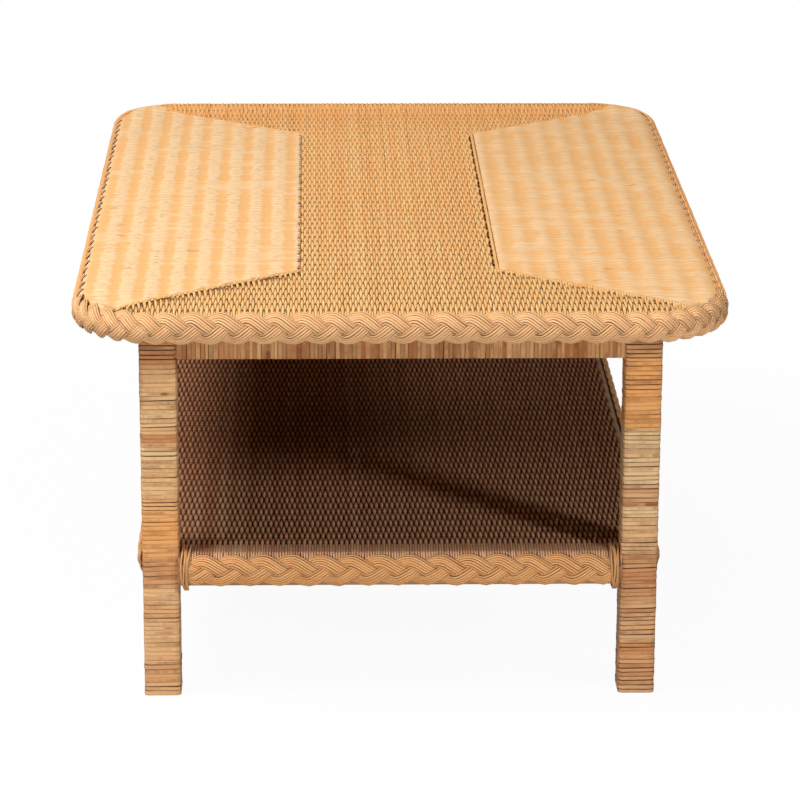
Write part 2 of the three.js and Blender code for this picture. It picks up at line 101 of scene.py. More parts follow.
class Finish:
    """A material, built node by node round its Principled shader, or the air round the table."""

    def __init__(self, name, gloss=None, kind="materials"):
        self.material = getattr(bpy.data, kind).new(name)
        self.material.use_nodes = True
        self.tree = self.material.node_tree
        self.shader = self.tree.nodes.get("Principled BSDF")
        if gloss is not None:
            self.shader.inputs["Specular IOR Level"].default_value = gloss

    def node(self, kind, sockets=None, out=0, **settings):
        made = self.tree.nodes.new(kind)
        for key, value in settings.items():
            setattr(made, key, value)
        for key, value in (sockets or {}).items():
            if isinstance(value, Pattern):
                self.tree.links.new(value.socket, made.inputs[key])
            else:
                made.inputs[key].default_value = value
        return Pattern(self, made.outputs[out])

    def looked_at(self):
        """1 for rays that look: the camera's, and those that mirror or pass through. 0 for light."""
        camera, mirrored, through = (
            self.node("ShaderNodeLightPath", out="Is %s Ray" % kind)
            for kind in ("Camera", "Glossy", "Transmission")
        )
        return camera.maths("ADD", camera + mirrored, through, clamp=True)

    def plain(self, surface, output):
        """Takes a ready surface in place of the Principled shader."""
        if self.shader:
            self.tree.nodes.remove(self.shader)
        self.tree.links.new(surface.socket, self.tree.nodes[output].inputs["Surface"])
        return self.material

    def place(self):
        """Where a point lies in the table's own frame."""
        return self.node("ShaderNodeTexCoord", out="Object")

    def carried(self, name):
        """What the mesh carries at each point under that name."""
        return self.node("ShaderNodeAttribute", out="Fac", attribute_name=name)

    def joined(self, x, y, z):
        return self.node("ShaderNodeCombineXYZ", {0: x, 1: y, 2: z})

    def stretched(self, vector, by):
        return self.node("ShaderNodeVectorMath", {0: vector, 1: by}, operation="MULTIPLY")

    def cloud(self, vector, scale=1.0, detail=3.0, roughness=0.55):
        """Soft noise. A scale of three numbers draws it out along one way or another."""
        if isinstance(scale, tuple):
            vector, scale = self.stretched(vector, scale), 1.0
        sockets = {"Vector": vector, "Scale": scale, "Detail": detail, "Roughness": roughness}
        return self.node("ShaderNodeTexNoise", sockets)

    def paint(self, levels):
        """A pattern as it is, or a colour written as it shows on a screen, 0 to 255."""
        if isinstance(levels, Pattern):
            return levels
        shares = [level / 255 for level in levels]
        return [s / 12.92 if s < 0.0404 else ((s + 0.055) / 1.055) ** 2.4 for s in shares] + [1.0]

    def tinted(self, share, first, second):
        """The first colour where share is 0, the second where it is 1."""
        sockets = {0: share, 6: self.paint(first), 7: self.paint(second)}
        return self.node("ShaderNodeMix", sockets, out=2, data_type="RGBA")

    def wear(self, colour, roughness, height, depth=0.0005, strength=0.5):
        """Joins the finished patterns to the shader."""
        sockets = {"Height": height, "Distance": depth, "Strength": strength}
        raised = self.node("ShaderNodeBump", sockets)
        for pattern, socket in ((colour, "Base Color"), (roughness, "Roughness"), (raised, "Normal")):
            self.tree.links.new(pattern.socket, self.shader.inputs[socket])
        return self.material


scene = bpy.context.scene
scene.view_settings.view_transform = "Standard"
air = Finish("white_room", kind="worlds")
dim_air = air.node("ShaderNodeBackground", {"Color": (1, 0.98, 0.95, 1), "Strength": 0.012})
white_air = air.node("ShaderNodeBackground", {"Color": (1, 1, 1, 1), "Strength": 1.0})
seen_air = air.node("ShaderNodeMixShader", {0: air.looked_at(), 1: dim_air, 2: white_air})
scene.world = air.plain(seen_air, "World Output")

bpy.ops.mesh.primitive_plane_add(size=40.0)
floor = bpy.context.object
floor.name = "studio_floor"
paper = Finish("white_paper")
dim_paper = paper.node("ShaderNodeBsdfDiffuse", {"Color": (0.30, 0.29, 0.28, 1)})
shaded_paper = paper.node("ShaderNodeBsdfDiffuse", {"Color": (0.95, 0.95, 0.95, 1)})
paper_glow = paper.node("ShaderNodeEmission", {"Strength": 1.0})
from_table = paper.node("ShaderNodeVectorMath", {0: paper.place()}, out="Value", operation="LENGTH")
glowing = from_table.held(0.2, 1.4) * 0.05 + 0.95
white_paper = paper.node("ShaderNodeMixShader", {0: glowing, 1: shaded_paper, 2: paper_glow})
seen_paper = paper.node("ShaderNodeMixShader", {0: paper.looked_at(), 1: dim_paper, 2: white_paper})
paper.plain(seen_paper, "Material Output")
floor.data.materials.append(paper.material)


# The four posts: square hardwood sticks, hidden by their binding but for what shows between two
# turns of peel. They are the frame's own solids with a planed wood finish.
def wood(name, grain_axis):
    """Planed wood whose grain runs along one axis."""
    finish = Finish(name, 0.35)
    stretch = [150.0, 150.0, 150.0]
    stretch[grain_axis] = 6.0
    grain = finish.stretched(finish.place(), stretch)
    rings = finish.cloud(grain, 1.0, 4.0, 0.6)
    pores = finish.cloud(grain, 5.0, 2.0, 0.7).held(0.55, 0.8)
    colour = finish.tinted(rings.held(0.35, 0.7), (196, 150, 104), (160, 112, 72))
    colour = finish.tinted(pores * 0.35, colour, (90, 60, 35))
    return finish.wear(colour, rings * 0.2 + 0.5, rings + pores * -0.5, 0.0004)


def finish_solid(name, material):
    """Gives one of the frame's own solids its finish."""
    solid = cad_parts[name]
    solid.data.materials.clear()
    solid.data.materials.append(material)


corners = {"front_left": (-1, -1), "front_right": (1, -1), "back_left": (-1, 1), "back_right": (1, 1)}
post_wood = wood("post_wood", 2)
for corner in corners:
    finish_solid("leg_post_" + corner, post_wood)


# The glides under the feet: small round steel buttons in one piece with their pin, lacquered
# dark and scuffed by the floor. Each pin is driven into the end of its post.
def pick(piece, kind, wanted):
    """Opens a piece for editing with just those faces or edges selected that are wanted."""
    bpy.ops.object.mode_set(mode="EDIT")
    bpy.ops.mesh.select_all(action="DESELECT")
    bpy.ops.object.mode_set(mode="OBJECT")
    for part in piece.data.polygons if kind == "FACE" else piece.data.edges:
        part.select = wanted(part)
    bpy.ops.object.mode_set(mode="EDIT")
    bpy.ops.mesh.select_mode(type=kind)


def at_brim(point):
    return point.z < 0 and math.hypot(point.x, point.y) > 0.0068


glide_lacquer = Finish("glide_lacquer", 0.5)
scuffs = glide_lacquer.cloud(glide_lacquer.place(), 900.0, 3.0, 0.6)
scuffed = glide_lacquer.tinted(scuffs.held(0.5, 0.8), (38, 31, 27), (92, 84, 76))
glide_lacquer.wear(scuffed, scuffs * 0.3 + 0.25, scuffs, 0.0001)
button_radius, button_height, pin_radius, pin_height = 0.0070, 0.0030, 0.0015, 0.0145
for corner in corners:
    low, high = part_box("leg_glide_" + corner)
    place = ((low.x + high.x) / 2, (low.y + high.y) / 2, button_height / 2)
    bpy.ops.object.select_all(action="DESELECT")
    bpy.ops.mesh.primitive_cylinder_add(
        vertices=32, radius=button_radius, depth=button_height, location=place, end_fill_type="NGON"
    )
    glide = bpy.context.object
    glide.name = "glide_button_" + corner
    pick(glide, "FACE", lambda face: face.normal.z < -0.9)
    bpy.ops.mesh.inset(thickness=0.0022)
    pick(glide, "EDGE", lambda edge: all(at_brim(glide.data.vertices[v].co) for v in edge.vertices))
    bpy.ops.mesh.bevel(offset=0.0016, segments=4)
    pick(glide, "FACE", lambda face: face.normal.z > 0.9)
    bpy.ops.mesh.inset(thickness=button_radius - pin_radius)
    bpy.ops.mesh.extrude_region_move(TRANSFORM_OT_translate={"value": (0, 0, pin_height)})
    bpy.ops.object.mode_set(mode="OBJECT")
    bpy.ops.object.transform_apply(location=True, rotation=True, scale=True)
    bpy.ops.object.shade_smooth_by_angle(angle=math.radians(35))
    glide.data.materials.append(glide_lacquer.material)
    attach(glide, "root")
    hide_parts("leg_glide_" + corner)


# The apron rails join the posts under the top: plain hardwood sticks, seen only between the
# strips of their binding.
rail_wood_x, rail_wood_y = wood("rail_wood_x", 0), wood("rail_wood_y", 1)
sides = {"front": rail_wood_x, "back": rail_wood_x, "left": rail_wood_y, "right": rail_wood_y}
for side, material in sides.items():
    finish_solid("apron_rail_" + side, material)


# Two bearers of the same hardwood run across under the board and carry its middle. They are
# the frame's own solids too.
for side in ("front", "back"):
    finish_solid("top_bearer_" + side, rail_wood_x)


# The board of the top is a sheet of thin plywood, bare below and hidden above by the weave.
# Its face veneer has a broad soft figure, and its edge is under the pole.
veneer = Finish("board_veneer", 0.3)
figure = veneer.cloud(veneer.place(), (22.0, 1.6, 22.0), 4.0, 0.5)
streak = veneer.cloud(veneer.place(), (420.0, 9.0, 420.0), 3.0, 0.6)
flow = ((figure * 26.0).sine() * 0.5 + 0.5) * 0.6 + streak * 0.4
figured = veneer.tinted(flow, (205, 165, 118), (172, 128, 84))
veneer.wear(figured, streak * 0.2 + 0.55, flow + streak, 0.0002, 0.4)
finish_solid("top_board", veneer.material)


# The edging pole: a thick rattan stem bent round the board. Its skin is smooth and yellow, and
# it shows only from below, behind the plait.
pole = Finish("rattan_pole", 0.5)
skin = pole.place()
fine = pole.cloud(skin, (300.0, 300.0, 900.0), 3.0, 0.6)
broad = pole.cloud(skin, 14.0, 2.0, 0.5)
lumps = pole.cloud(skin, 5.0, 0.0, 0.0)
yellowed = broad.held(0.3, 0.7) * 0.6 + fine * 0.3
yellow = pole.tinted(yellowed, (224, 180, 122), (186, 134, 82))
pole.wear(yellow, fine * 0.25 + 0.35, fine + lumps, 0.0004, 0.4)
finish_solid("edge_hoop", pole.material)


# The leg bindings: flat rattan peel about five millimetres wide, wound turn on turn round each
# post from the foot to the board. One turn is shaped, then laid eighty-odd times, each a little
# out of true and each its own tone, as lengths of peel differ.
def points_of(piece):
    held = np.empty(len(piece.data.vertices) * 3, np.float32)
    piece.data.vertices.foreach_get("co", held)
    return held.reshape(-1, 3).astype(float)


def carry(piece, **fields):
    """Gives a mesh values at its points, for its finish to read."""
    for key, values in fields.items():
        field = piece.data.attributes.new(key, "FLOAT", "POINT")
        field.data.foreach_set("value", np.asarray(values, np.float32))


def turn_of_peel(deep, tall, thick, corner):
    """One turn of peel round a stick of that section, flat about the origin, with its points,
    their height from -1 to 1, and where each lies round the stick."""
    bpy.ops.object.select_all(action="DESELECT")
    bpy.ops.mesh.primitive_plane_add(size=1.0)
    turn = bpy.context.object
    bpy.ops.transform.resize(value=(deep, tall, 1.0))
    bpy.ops.object.transform_apply(location=True, rotation=True, scale=True)
    bpy.ops.object.mode_set(mode="EDIT")
    bpy.ops.mesh.select_all(action="SELECT")
    bpy.ops.mesh.bevel(offset=corner, segments=2, affect="VERTICES")
    bpy.ops.mesh.inset(thickness=thick)
    bpy.ops.mesh.delete(type="FACE")
    bpy.ops.object.mode_set(mode="OBJECT")
    thicker = turn.modifiers.new("peel", "SOLIDIFY")
    thicker.thickness, thicker.offset = 0.001, 0.0
    bpy.ops.object.modifier_apply(modifier=thicker.name)
    across, along = deep / 2 - corner * 0.4 - 1e-6, tall / 2 - corner * 0.4 - 1e-6
    for edge in turn.data.edges:
        ends = [turn.data.vertices[v].co for v in edge.vertices]
        outer = all(abs(e.x) > across or abs(e.y) > along for e in ends)
        edge.select = outer and abs(ends[0].z - ends[1].z) < 1e-6
    bpy.ops.object.mode_set(mode="EDIT")
    bpy.ops.mesh.select_mode(type="EDGE")
    bpy.ops.mesh.bevel(offset=0.00022, segments=1)
    turn_outward()
    shape = points_of(turn)
    shape[:, 2] /= abs(shape[:, 2]).max()
    return turn, shape, np.arctan2(shape[:, 1], shape[:, 0])


def turn_outward():
    """Turns every face of the piece in hand to face out."""
    bpy.ops.object.mode_set(mode="EDIT")
    bpy.ops.mesh.select_all(action="SELECT")
    bpy.ops.mesh.normals_make_consistent(inside=False)
    bpy.ops.object.mode_set(mode="OBJECT")


def joins_between(start, end, widths, chance):
    """Where one turn of a binding meets the next, from end to end of a stick."""
    joins, least = [start], 0.0028
    while joins[-1] < end - least:
        joins.append(joins[-1] + chance.choice(widths, p=[0.2, 0.3, 0.3, 0.2]))
    return start + (np.array(joins) - start) * (end - start) / (joins[-1] - start)


def lay_turns(name, turn, turns):
    """All the turns of a binding as one piece, each with its own points. Takes the first away."""
    placed, *carried = zip(*turns)
    points = len(turn.data.vertices)
    faces = [tuple(f.vertices) for f in turn.data.polygons]
    mesh = bpy.data.meshes.new(name)
    every_face = [tuple(v + k * points for v in f) for k in range(len(placed)) for f in faces]
    mesh.from_pydata(np.concatenate(placed).tolist(), [], every_face)
    piece = bpy.data.objects.new(name, mesh)
    full = [np.concatenate([np.broadcast_to(v, points) for v in values]) for values in carried]
    carry(piece, **dict(zip(("tone", "warmth", "run", "edge", "slit"), full)))
    bpy.context.collection.objects.link(piece)
    bpy.data.objects.remove(turn, do_unlink=True)
    return piece


def drifting(count, near, chance):
    """count numbers from -1 to 1 that wander, each close to its last few neighbours."""
    knots = chance.uniform(-1, 1, int(count / near) + 3)
    return np.interp(np.arange(count) / near, np.arange(len(knots)), knots)


def about(share, spread, chance):
    """A share from 0 to 1 that lies near the one given."""
    return np.clip(share + chance.uniform(-spread, spread), 0, 1)


def rattan_peel(name, light, dark, warm, stain_and_shade):
    """Rattan peel: a skin with fibres along it, golden in places, with browner flecks, each turn
    darker towards its edges as painted shade, and dark slits of painted shade here and there between two
    turns."""
    finish = Finish(name, 0.06)
    tone, warmth, slit, run, edge = map(finish.carried, ("tone", "warmth", "slit", "run", "edge"))
    fibre = finish.cloud(finish.joined(run * 24.0, edge * 4.4, tone * 90.0), 1.0, 4.0, 0.7)
    patch = finish.cloud(finish.place(), 34.0, 3.0, 0.6)
    ragged = finish.cloud(finish.joined(run * 46.0, slit * 60.0, warmth * 60.0), 1.0, 2.0, 0.5)
    fleck = finish.cloud(finish.joined(run * 30.0, tone * 70.0, edge * 0.8), 1.0, 1.0, 0.5)
    fleck = fleck.held(0.68, 0.74)
    colour = finish.tinted(tone, dark, light)
    colour = finish.tinted((warmth + patch * 0.5 - 0.25).held(0.1, 1.0), colour, warm)
    colour = finish.tinted(fibre.held(0.47, 0.68) * 0.60, colour, stain_and_shade)
    colour = finish.tinted(fleck * fibre.held(0.40, 0.60) * 0.75, colour, stain_and_shade)
    # Painted shade: each turn darker towards its edges, the more where a slit is strong.
    painted_edge_shade = edge.held(0.35, 1.0) * (slit.held(0.0, 0.8) * 0.35 + 0.12)
    colour = finish.tinted(painted_edge_shade, colour, stain_and_shade)
    # Painted shade, dark brown, in the slits between two turns.
    slit_shade = (ragged + slit * 0.70 - 0.86).held(0.0, 0.26) * edge.held(0.82, 0.94)
    colour = finish.tinted(slit_shade * 0.85, colour, (74, 36, 16))
    return finish.wear(colour, fibre * 0.3 + 0.40, fibre - slit_shade * 2.0, 0.0003)


leg_peel = rattan_peel("leg_peel", (255, 218, 164), (214, 150, 102), (254, 182, 110), (146, 88, 50))
# Up each leg, how pale the peel is and how golden: (millimetres up, then both in hundredths).
# The darkest bands, at the top of the near legs under the tabletop, are partly painted shade.
leg_bands = {
    "front_left": [
        (0, 58, 20), (50, 50, 25), (80, 50, 25), (100, 54, 25), (128, 55, 25), (134, 25, 20),
        (160, 40, 25), (166, 60, 70), (180, 14, 85), (200, 16, 90), (212, 74, 65), (236, 98, 40),
        (256, 92, 34), (283, 86, 25), (288, 12, 20), (297, 12, 20), (302, 70, 30), (318, 86, 32),
        (334, 100, 40), (358, 100, 40), (364, 40, 25), (376, 10, 20), (384, 2, 12), (402, 2, 12),
        (408, 0, 10), (440, 0, 10),
    ],
    "front_right": [
        (0, 30, 0), (35, 25, 0), (40, 0, 15), (58, 0, 20), (64, 28, 15), (110, 28, 15),
        (118, 5, 15), (155, 5, 15), (162, 30, 15), (176, 40, 12), (190, 74, 12), (210, 84, 6),
        (218, 40, 8), (232, 42, 8), (242, 86, 6), (256, 86, 6), (264, 84, 4), (302, 88, 4),
        (305, 86, 90), (374, 84, 90), (380, 50, 60), (392, 20, 20), (408, 18, 20), (440, 12, 20),
    ],
    "back_left": [(0, 50, 30), (200, 70, 20), (300, 40, 70), (440, 50, 40)],
    "back_right": [(0, 60, 20), (150, 40, 50), (330, 70, 40), (440, 40, 30)],
}
foot, head, loose_above, widest_slit = 0.0005, 0.4356, 0.385, 0.381
post_x, post_y, leg_side = 0.258, 0.420, 0.0398
for number, (corner, (sx, sy)) in enumerate(corners.items()):
    chance = np.random.default_rng(101 + number)
    turn, shape, around = turn_of_peel(leg_side, leg_side, 0.0013, 0.0045)
    joins = joins_between(foot, head, [0.0041, 0.0047, 0.0050, 0.0054], chance)
    count = len(joins) - 1
    lean_x, lean_y = 0.014 * drifting(count, 3, chance), 0.014 * drifting(count, 3, chance)
    band_heights, paleness, gold = (np.array(leg_bands[corner]) / [1000, 100, 100]).T
    slits = chance.choice([0.10, 0.42, 0.56, 0.75, 1.05], count + 1, p=[0.22, 0.28, 0.25, 0.18, 0.07])
    # The peel of the near right leg has shrunk the most, so more of its slits are open and take more painted
    # shade.
    if corner == "front_right":
        between = np.where((joins > 0.22) & (joins < 0.30), 0.32, 0.16)
        slits = slits + np.where(joins < 0.16, 0.28, between)
    # Above the apron's lower edge every slit is open and gets strong painted shade, the one at that edge the
    # most.
    slits[joins > loose_above] = 0.95
    slits[np.argmin(abs(joins - widest_slit))] = 1.3
    turns = []
    for k in range(count):
        level, half = (joins[k] + joins[k + 1]) / 2, (joins[k + 1] - joins[k]) / 2
        below_shelf = math.exp(-(((level - 0.140) / 0.022) ** 2))
        gap = 0.00002 if max(slits[k], slits[k + 1]) < 0.95 else 0.00020
        held = shape.copy()
        held[:, :2] *= 1 + chance.uniform(-0.014, 0.012)
        held[:, 0] *= 1 + chance.uniform(-0.006, 0.006)
        free = min(1.0, min(level - foot, head - level) / 0.012)
        leaning = held[:, 0] * (lean_x[k] + 0.012) + held[:, 1] * lean_y[k]
        held[:, 2] = held[:, 2] * (half - gap) + free * (1.0 + 1.6 * below_shelf) * leaning
        held[:, 2] += 0.00014 * np.sin(around * 2 + chance.uniform(0, 6))
        held += [sx * post_x, sy * post_y, level]
        held[:, 2] = np.clip(held[:, 2], foot, head + 0.0001)
        tone = about(np.interp(level, band_heights, paleness), 0.27, chance)
        warmth = about(np.interp(level, band_heights, gold), 0.12, chance)
        run = around * 0.025 + k * 0.157 + chance.uniform(0, 0.02)
        slit = np.where(shape[:, 2] < 0, slits[k], slits[k + 1])
        turns.append((held, tone, warmth, run, abs(shape[:, 2]), slit))
    binding = lay_turns("leg_peel_" + corner, turn, turns)
    binding.data.materials.append(leg_peel)
    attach(binding, "root")
    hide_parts("leg_binding_" + corner)


# The apron bindings: the same peel wound round each rail of the apron, so that it stands in
# upright strips from leg to leg. The rail's section is one turn, copied along the rail.
apron_peel = rattan_peel("apron_peel", (255, 206, 144), (182, 114, 72), (234, 162, 98), (124, 70, 38))
apron_deep, apron_tall, apron_level = 0.0272, 0.0543, 0.40845
for number, (side, half_run, face) in enumerate(
    [("front", 0.2376, -0.438), ("back", 0.2376, 0.438), ("left", 0.3996, -0.276), ("right", 0.3996, 0.276)]
):
    chance = np.random.default_rng(201 + number)
    turn, shape, around = turn_of_peel(apron_deep, apron_tall, 0.0012, 0.0030)
    joins = joins_between(-half_run, half_run, [0.0036, 0.0044, 0.0050, 0.0057], chance)
    count = len(joins) - 1
    band, glow = drifting(count, 7, chance), drifting(count, 9, chance)
    slits = chance.choice([0.25, 0.45, 0.62, 0.80, 1.0], count + 1, p=[0.20, 0.25, 0.30, 0.18, 0.07])
    middle = face - math.copysign(apron_deep / 2, face)
    turns = []
    for k in range(count):
        where, half = (joins[k] + joins[k + 1]) / 2, (joins[k + 1] - joins[k]) / 2
        held = shape.copy()
        held[:, 0] *= 1 + chance.uniform(-0.020, 0.008)
        held[:, 2] = held[:, 2] * (half - 0.00002) + held[:, 1] * chance.uniform(-0.010, 0.010)
        deep, tall, wide = held.T
        if side in ("front", "back"):
            held = np.stack([wide + where, middle - deep, tall + apron_level], 1)
        else:
            held = np.stack([deep + middle, where - wide, tall + apron_level], 1)
        tone = about(0.5 + 0.25 * band[k], 0.38, chance)
        warmth = about(0.30 + 0.25 * glow[k], 0.15, chance)
        slit = np.where(shape[:, 2] < 0, slits[k], slits[k + 1])
        turns.append((held, tone, warmth, around * 0.025 + k * 0.157, abs(shape[:, 2]), slit))
    binding = lay_turns("apron_peel_" + side, turn, turns)
    binding.data.materials.append(apron_peel)
    bpy.ops.object.select_all(action="DESELECT")
    bpy.context.view_layer.objects.active = binding
    binding.select_set(True)
    turn_outward()
    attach(binding, "root")
    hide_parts("apron_binding_" + side)


# The shelf's frame: four round-nosed rails between the legs and three slats across them, of the
# same hardwood, seen from below.
for side, material in sides.items():
    finish_solid("shelf_rail_" + side, material)
for side in ("front", "middle", "back"):
    finish_solid("shelf_slat_" + side, rail_wood_x)


# The shelf's weave: round rattan core run lengthwise, over and under stakes that lie across,
# turned down over the rails at each end and tucked under their plait.
def lay_core(name, material, lines, thickness, facing=None, sides=6, closed=False, swell=None, tones=None,
             sunk_shade=None, flat=1.0, brink=0.62):
    """Round core laid along lines, in millimetres, as one piece: a curve with a round section,
    pressed flat if need be. facing says which way out is, along each line (up, if not given),
    sunk how much painted shade a strand gets where it dives under another, and brink how far
    round it the painted shade on its sides starts."""
    facing = facing or [(0, 0, 1)] * len(lines)
    curve = bpy.data.curves.new(name, "CURVE")
    curve.dimensions, curve.twist_mode = "3D", "MINIMUM"
    curve.bevel_depth, curve.bevel_resolution = thickness / 2000, (sides - 4) // 2
    for number, line in enumerate(lines):
        spline = curve.splines.new("POLY")
        spline.points.add(len(line) - 1)
        held = np.ones((len(line), 4), np.float32)
        held[:, :3] = line / 1000
        spline.points.foreach_set("co", held.ravel())
        if swell is not None:
            spline.points.foreach_set("radius", np.asarray(swell[number], np.float32))
        spline.use_cyclic_u = closed
    piece = bpy.data.objects.new(name, curve)
    bpy.context.collection.objects.link(piece)
    bpy.ops.object.select_all(action="DESELECT")
    bpy.context.view_layer.objects.active = piece
    piece.select_set(True)
    bpy.ops.object.convert(target="MESH")
    piece = bpy.context.object
    piece.name = piece.data.name = name
    ring = len(piece.data.vertices) // sum(len(line) for line in lines)

    def at_points(values):
        """One value for each strand, or one for each place along it, given to every point."""
        full = [np.broadcast_to(v, (len(line),) + np.shape(v)[1:]) for v, line in zip(values, lines)]
        return np.repeat(np.concatenate(full), ring, axis=0)

    middle = at_points(lines) / 1000
    outer = at_points([np.broadcast_to(np.asarray(f, float), line.shape) for f, line in zip(facing, lines)])
    spoke = points_of(piece) - middle
    height = (spoke * outer).sum(1)
    crown = height / (np.linalg.norm(spoke, axis=1) + 1e-9)
    # Painted shade on each strand's sides, where they turn away from out.
    brinks = at_points(np.broadcast_to(brink, len(lines)))
    crevice = np.clip((brinks - crown) / 0.6, 0, 1)
    if flat < 1:
        spoke -= outer * (height * (1 - flat))[:, None]
        piece.data.vertices.foreach_set("co", (middle + spoke).astype(np.float32).ravel())
        piece.data.update()
    # More painted shade where the strand dives under another.
    if sunk_shade is not None:
        crevice = 1 - (1 - crevice) * (1 - at_points(sunk_shade))
    steps = [np.r_[0.0, np.cumsum(np.linalg.norm(np.diff(line, axis=0), axis=1))] / 1000 for line in lines]
    runs = [step + number * 1.37 for number, step in enumerate(steps)]
    carry(piece, tone=at_points(tones), run=at_points(runs), crevice=crevice)
    if not closed:
        bpy.ops.object.mode_set(mode="EDIT")
        bpy.ops.mesh.select_all(action="SELECT")
        bpy.ops.mesh.fill_holes(sides=sides)
        bpy.ops.mesh.select_all(action="DESELECT")
        bpy.ops.object.mode_set(mode="OBJECT")
    bpy.ops.object.shade_smooth_by_angle(angle=math.radians(70))
    piece.data.materials.append(material)
    return piece


def rattan_core(name, light, dark, warm, edge, shade_colour, shade_share=0.85, gloss=0.05):
    """Rattan core: matt, pale and fibrous, each length its own tone, darkened with painted shade on the sides
    of each strand and where it dives.
    """
    finish = Finish(name, gloss)
    tone, run, crevice = map(finish.carried, ("tone", "run", "crevice"))
    where = finish.place()
    fibre = finish.cloud(where, (760.0, 150.0, 760.0), 3.0, 0.65)
    patch = finish.cloud(where, (60.0, 24.0, 60.0), 3.0, 0.6)
    length = finish.node("ShaderNodeTexNoise", {"W": run * 18.0, "Detail": 2.0}, noise_dimensions="1D")
    colour = finish.tinted(tone * 0.7 + length * 0.3, dark, light)
    colour = finish.tinted(patch.held(0.4, 0.75) * 0.5, colour, warm)
    colour = finish.tinted(fibre.held(0.50, 0.72) * 0.34, colour, edge)
    # Painted shade: dark brown where the mesh marks it, on strand sides and dives.
    colour = finish.tinted(crevice * shade_share, colour, shade_colour)
    return finish.wear(colour, fibre * 0.2 + 0.42, fibre, 0.0002, 0.45)


def crossing(along, stake, number):
    """How high a strand rides, from 1 over a stake to -1 under it."""
    wave = np.cos(math.pi * (along / stake + number))
    return wave * abs(wave) ** 0.8


def stations_along(reach, stake):
    """Where a strand's line has its points: close together at each stake, wider apart between."""
    count = int(reach / stake) + 2
    shares = np.array([0.0, 0.19, 0.5, 0.81])
    y = np.concatenate([n * stake + shares * stake for n in range(-count, count)])
    return y[abs(y) <= reach]


def fatness(wave):
    """A soft core swells where it rides over a stake and is pinched where it dives."""
    return 1.18 + 0.60 * np.maximum(wave, 0) ** 1.2 - 0.16 * np.maximum(-wave, 0)


def buried(wave, limit, spread):
    """How deep in shadow a strand lies: only where it goes right under a stake."""
    return np.clip((limit - wave) / spread, 0, 1)


def lay_strands(name, material, strands, brink):
    """The lengthwise strands of a weave: for each its line, its swell, its tone and its painted shade where
    it dives.
    """
    lines, widths, tones, sunk_shade = (list(part) for part in zip(*strands))
    return lay_core(
        name, material, lines, 2.5, swell=widths, tones=tones, sunk_shade=sunk_shade, flat=0.66, brink=brink
    )


def lay_stakes(name, material, thickness, paths, chance):
    """The stakes that a weave crosses, each a straight level core but where its edge turns down. They carry
    painted shade all along, as they lie beneath the strands.
    """
    lines = [np.stack([x, np.full(len(x), y), z], 1) for x, y, z in paths]
    tones = [chance.uniform(0.2, 0.7) for _ in lines]
    return lay_core(name, material, lines, thickness, tones=tones, sunk_shade=[0.7] * len(lines))


# The shelf's core is coloured darker than the top's, with a near-black shade colour: painted shade, as the
# shelf lies under the top.
shelf_core = rattan_core(
    "shelf_core", (255, 206, 162), (192, 130, 94), (232, 160, 116), (168, 106, 72),
    (44, 2, 0), 1.0, 0.0
)
core_pitch, shelf_stake, shelf_reach, shelf_level, legs_apart = 2.87, 20.0, 271.0, 162.2, 238.6
rail_x, rail_y, rail_level, end_nose, side_nose = 253.0, 415, 143, 27.4, 27.3
chance = np.random.default_rng(31)
strands = []
count = int(2 * shelf_reach / core_pitch) // 2
for number in range(-count, count + 1):
    x = number * core_pitch
    between_legs = abs(x) > legs_apart
    y = stations_along(399.3 if between_legs else 430.0, shelf_stake)
    wave = np.where(abs(y) > 407, 0.25, crossing(y, shelf_stake, number))
    y = y + 0.9 * math.sin(x * 0.019) + chance.uniform(-0.5, 0.5)
    droop = max(abs(x) - rail_x, 0.0)
    drop = (side_nose - math.sqrt(max(side_nose**2 - droop**2, 0.0))) * (0.55 if droop > 12 else 0.3)
    z = shelf_level + 0.8 * wave - drop
    sway = 0.18 * drifting(len(y), 9, chance) + 0.08 * drifting(len(y), 2, chance)
    line = np.stack([x + sway, y, z + 0.12 * drifting(len(y), 4, chance)], 1)
    # deep is painted shade where a strand dives under a stake.
    swell, deep = fatness(wave) * chance.uniform(1.0, 1.08), buried(wave, 0.40, 0.9)
    if not between_legs:
        turned = np.radians([45, 40, 32, 22, 12])
        over_x = np.full(5, x) + chance.uniform(-0.3, 0.3)
        over_y, over_z = rail_y + end_nose * np.cos(turned), rail_level + end_nose * np.sin(turned)
        over = np.stack([over_x, -over_y, over_z], 1)
        line = np.concatenate([over[::-1], line, over * [1, -1, 1]])
        swell = np.concatenate([np.full(5, 1.10), swell, np.full(5, 1.10)])
        deep = np.concatenate([[0.2, 0.1, 0, 0, 0], deep, [0, 0, 0, 0.1, 0.2]])
    else:
        ends = line[[0, -1]] + [[0, -2.0, -1.5], [0, 2.0, -1.5]]
        line = np.concatenate([ends[:1], line, ends[1:]])
        swell = np.concatenate([[1.0], swell, [1.0]])
        deep = np.concatenate([[0.5], deep, [0.5]])
    y = line[:, 1]
    # Painted shadow of the top over the middle of the shelf, joined to the painted shade of the dives.
    shaded = 0.42 * np.exp(-(((y - 20) / 140) ** 2) - (x / 190) ** 2)
    # Painted shade: the strands on the left are darker, and all of them darker away from the front.
    own = 0.72 + 0.12 * math.sin(number * 0.7) + chance.uniform(-0.25, 0.25) - (0.30 if x < -200 else 0.0)
    tone = np.clip(own - np.clip((y + 330) / 300, 0, 1) * 0.60, 0, 1)
    strands.append((line, swell, tone, 1 - (1 - deep) * (1 - shaded)))
third = len(strands) // 3
parts = {"left": strands[:third], "middle": strands[third : 2 * third], "right": strands[2 * third :]}
for name, part in parts.items():
    weave = lay_strands("shelf_core_" + name, shelf_core, part, 0.45)
    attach(weave, "root")
    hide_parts("shelf_weave")
paths = []
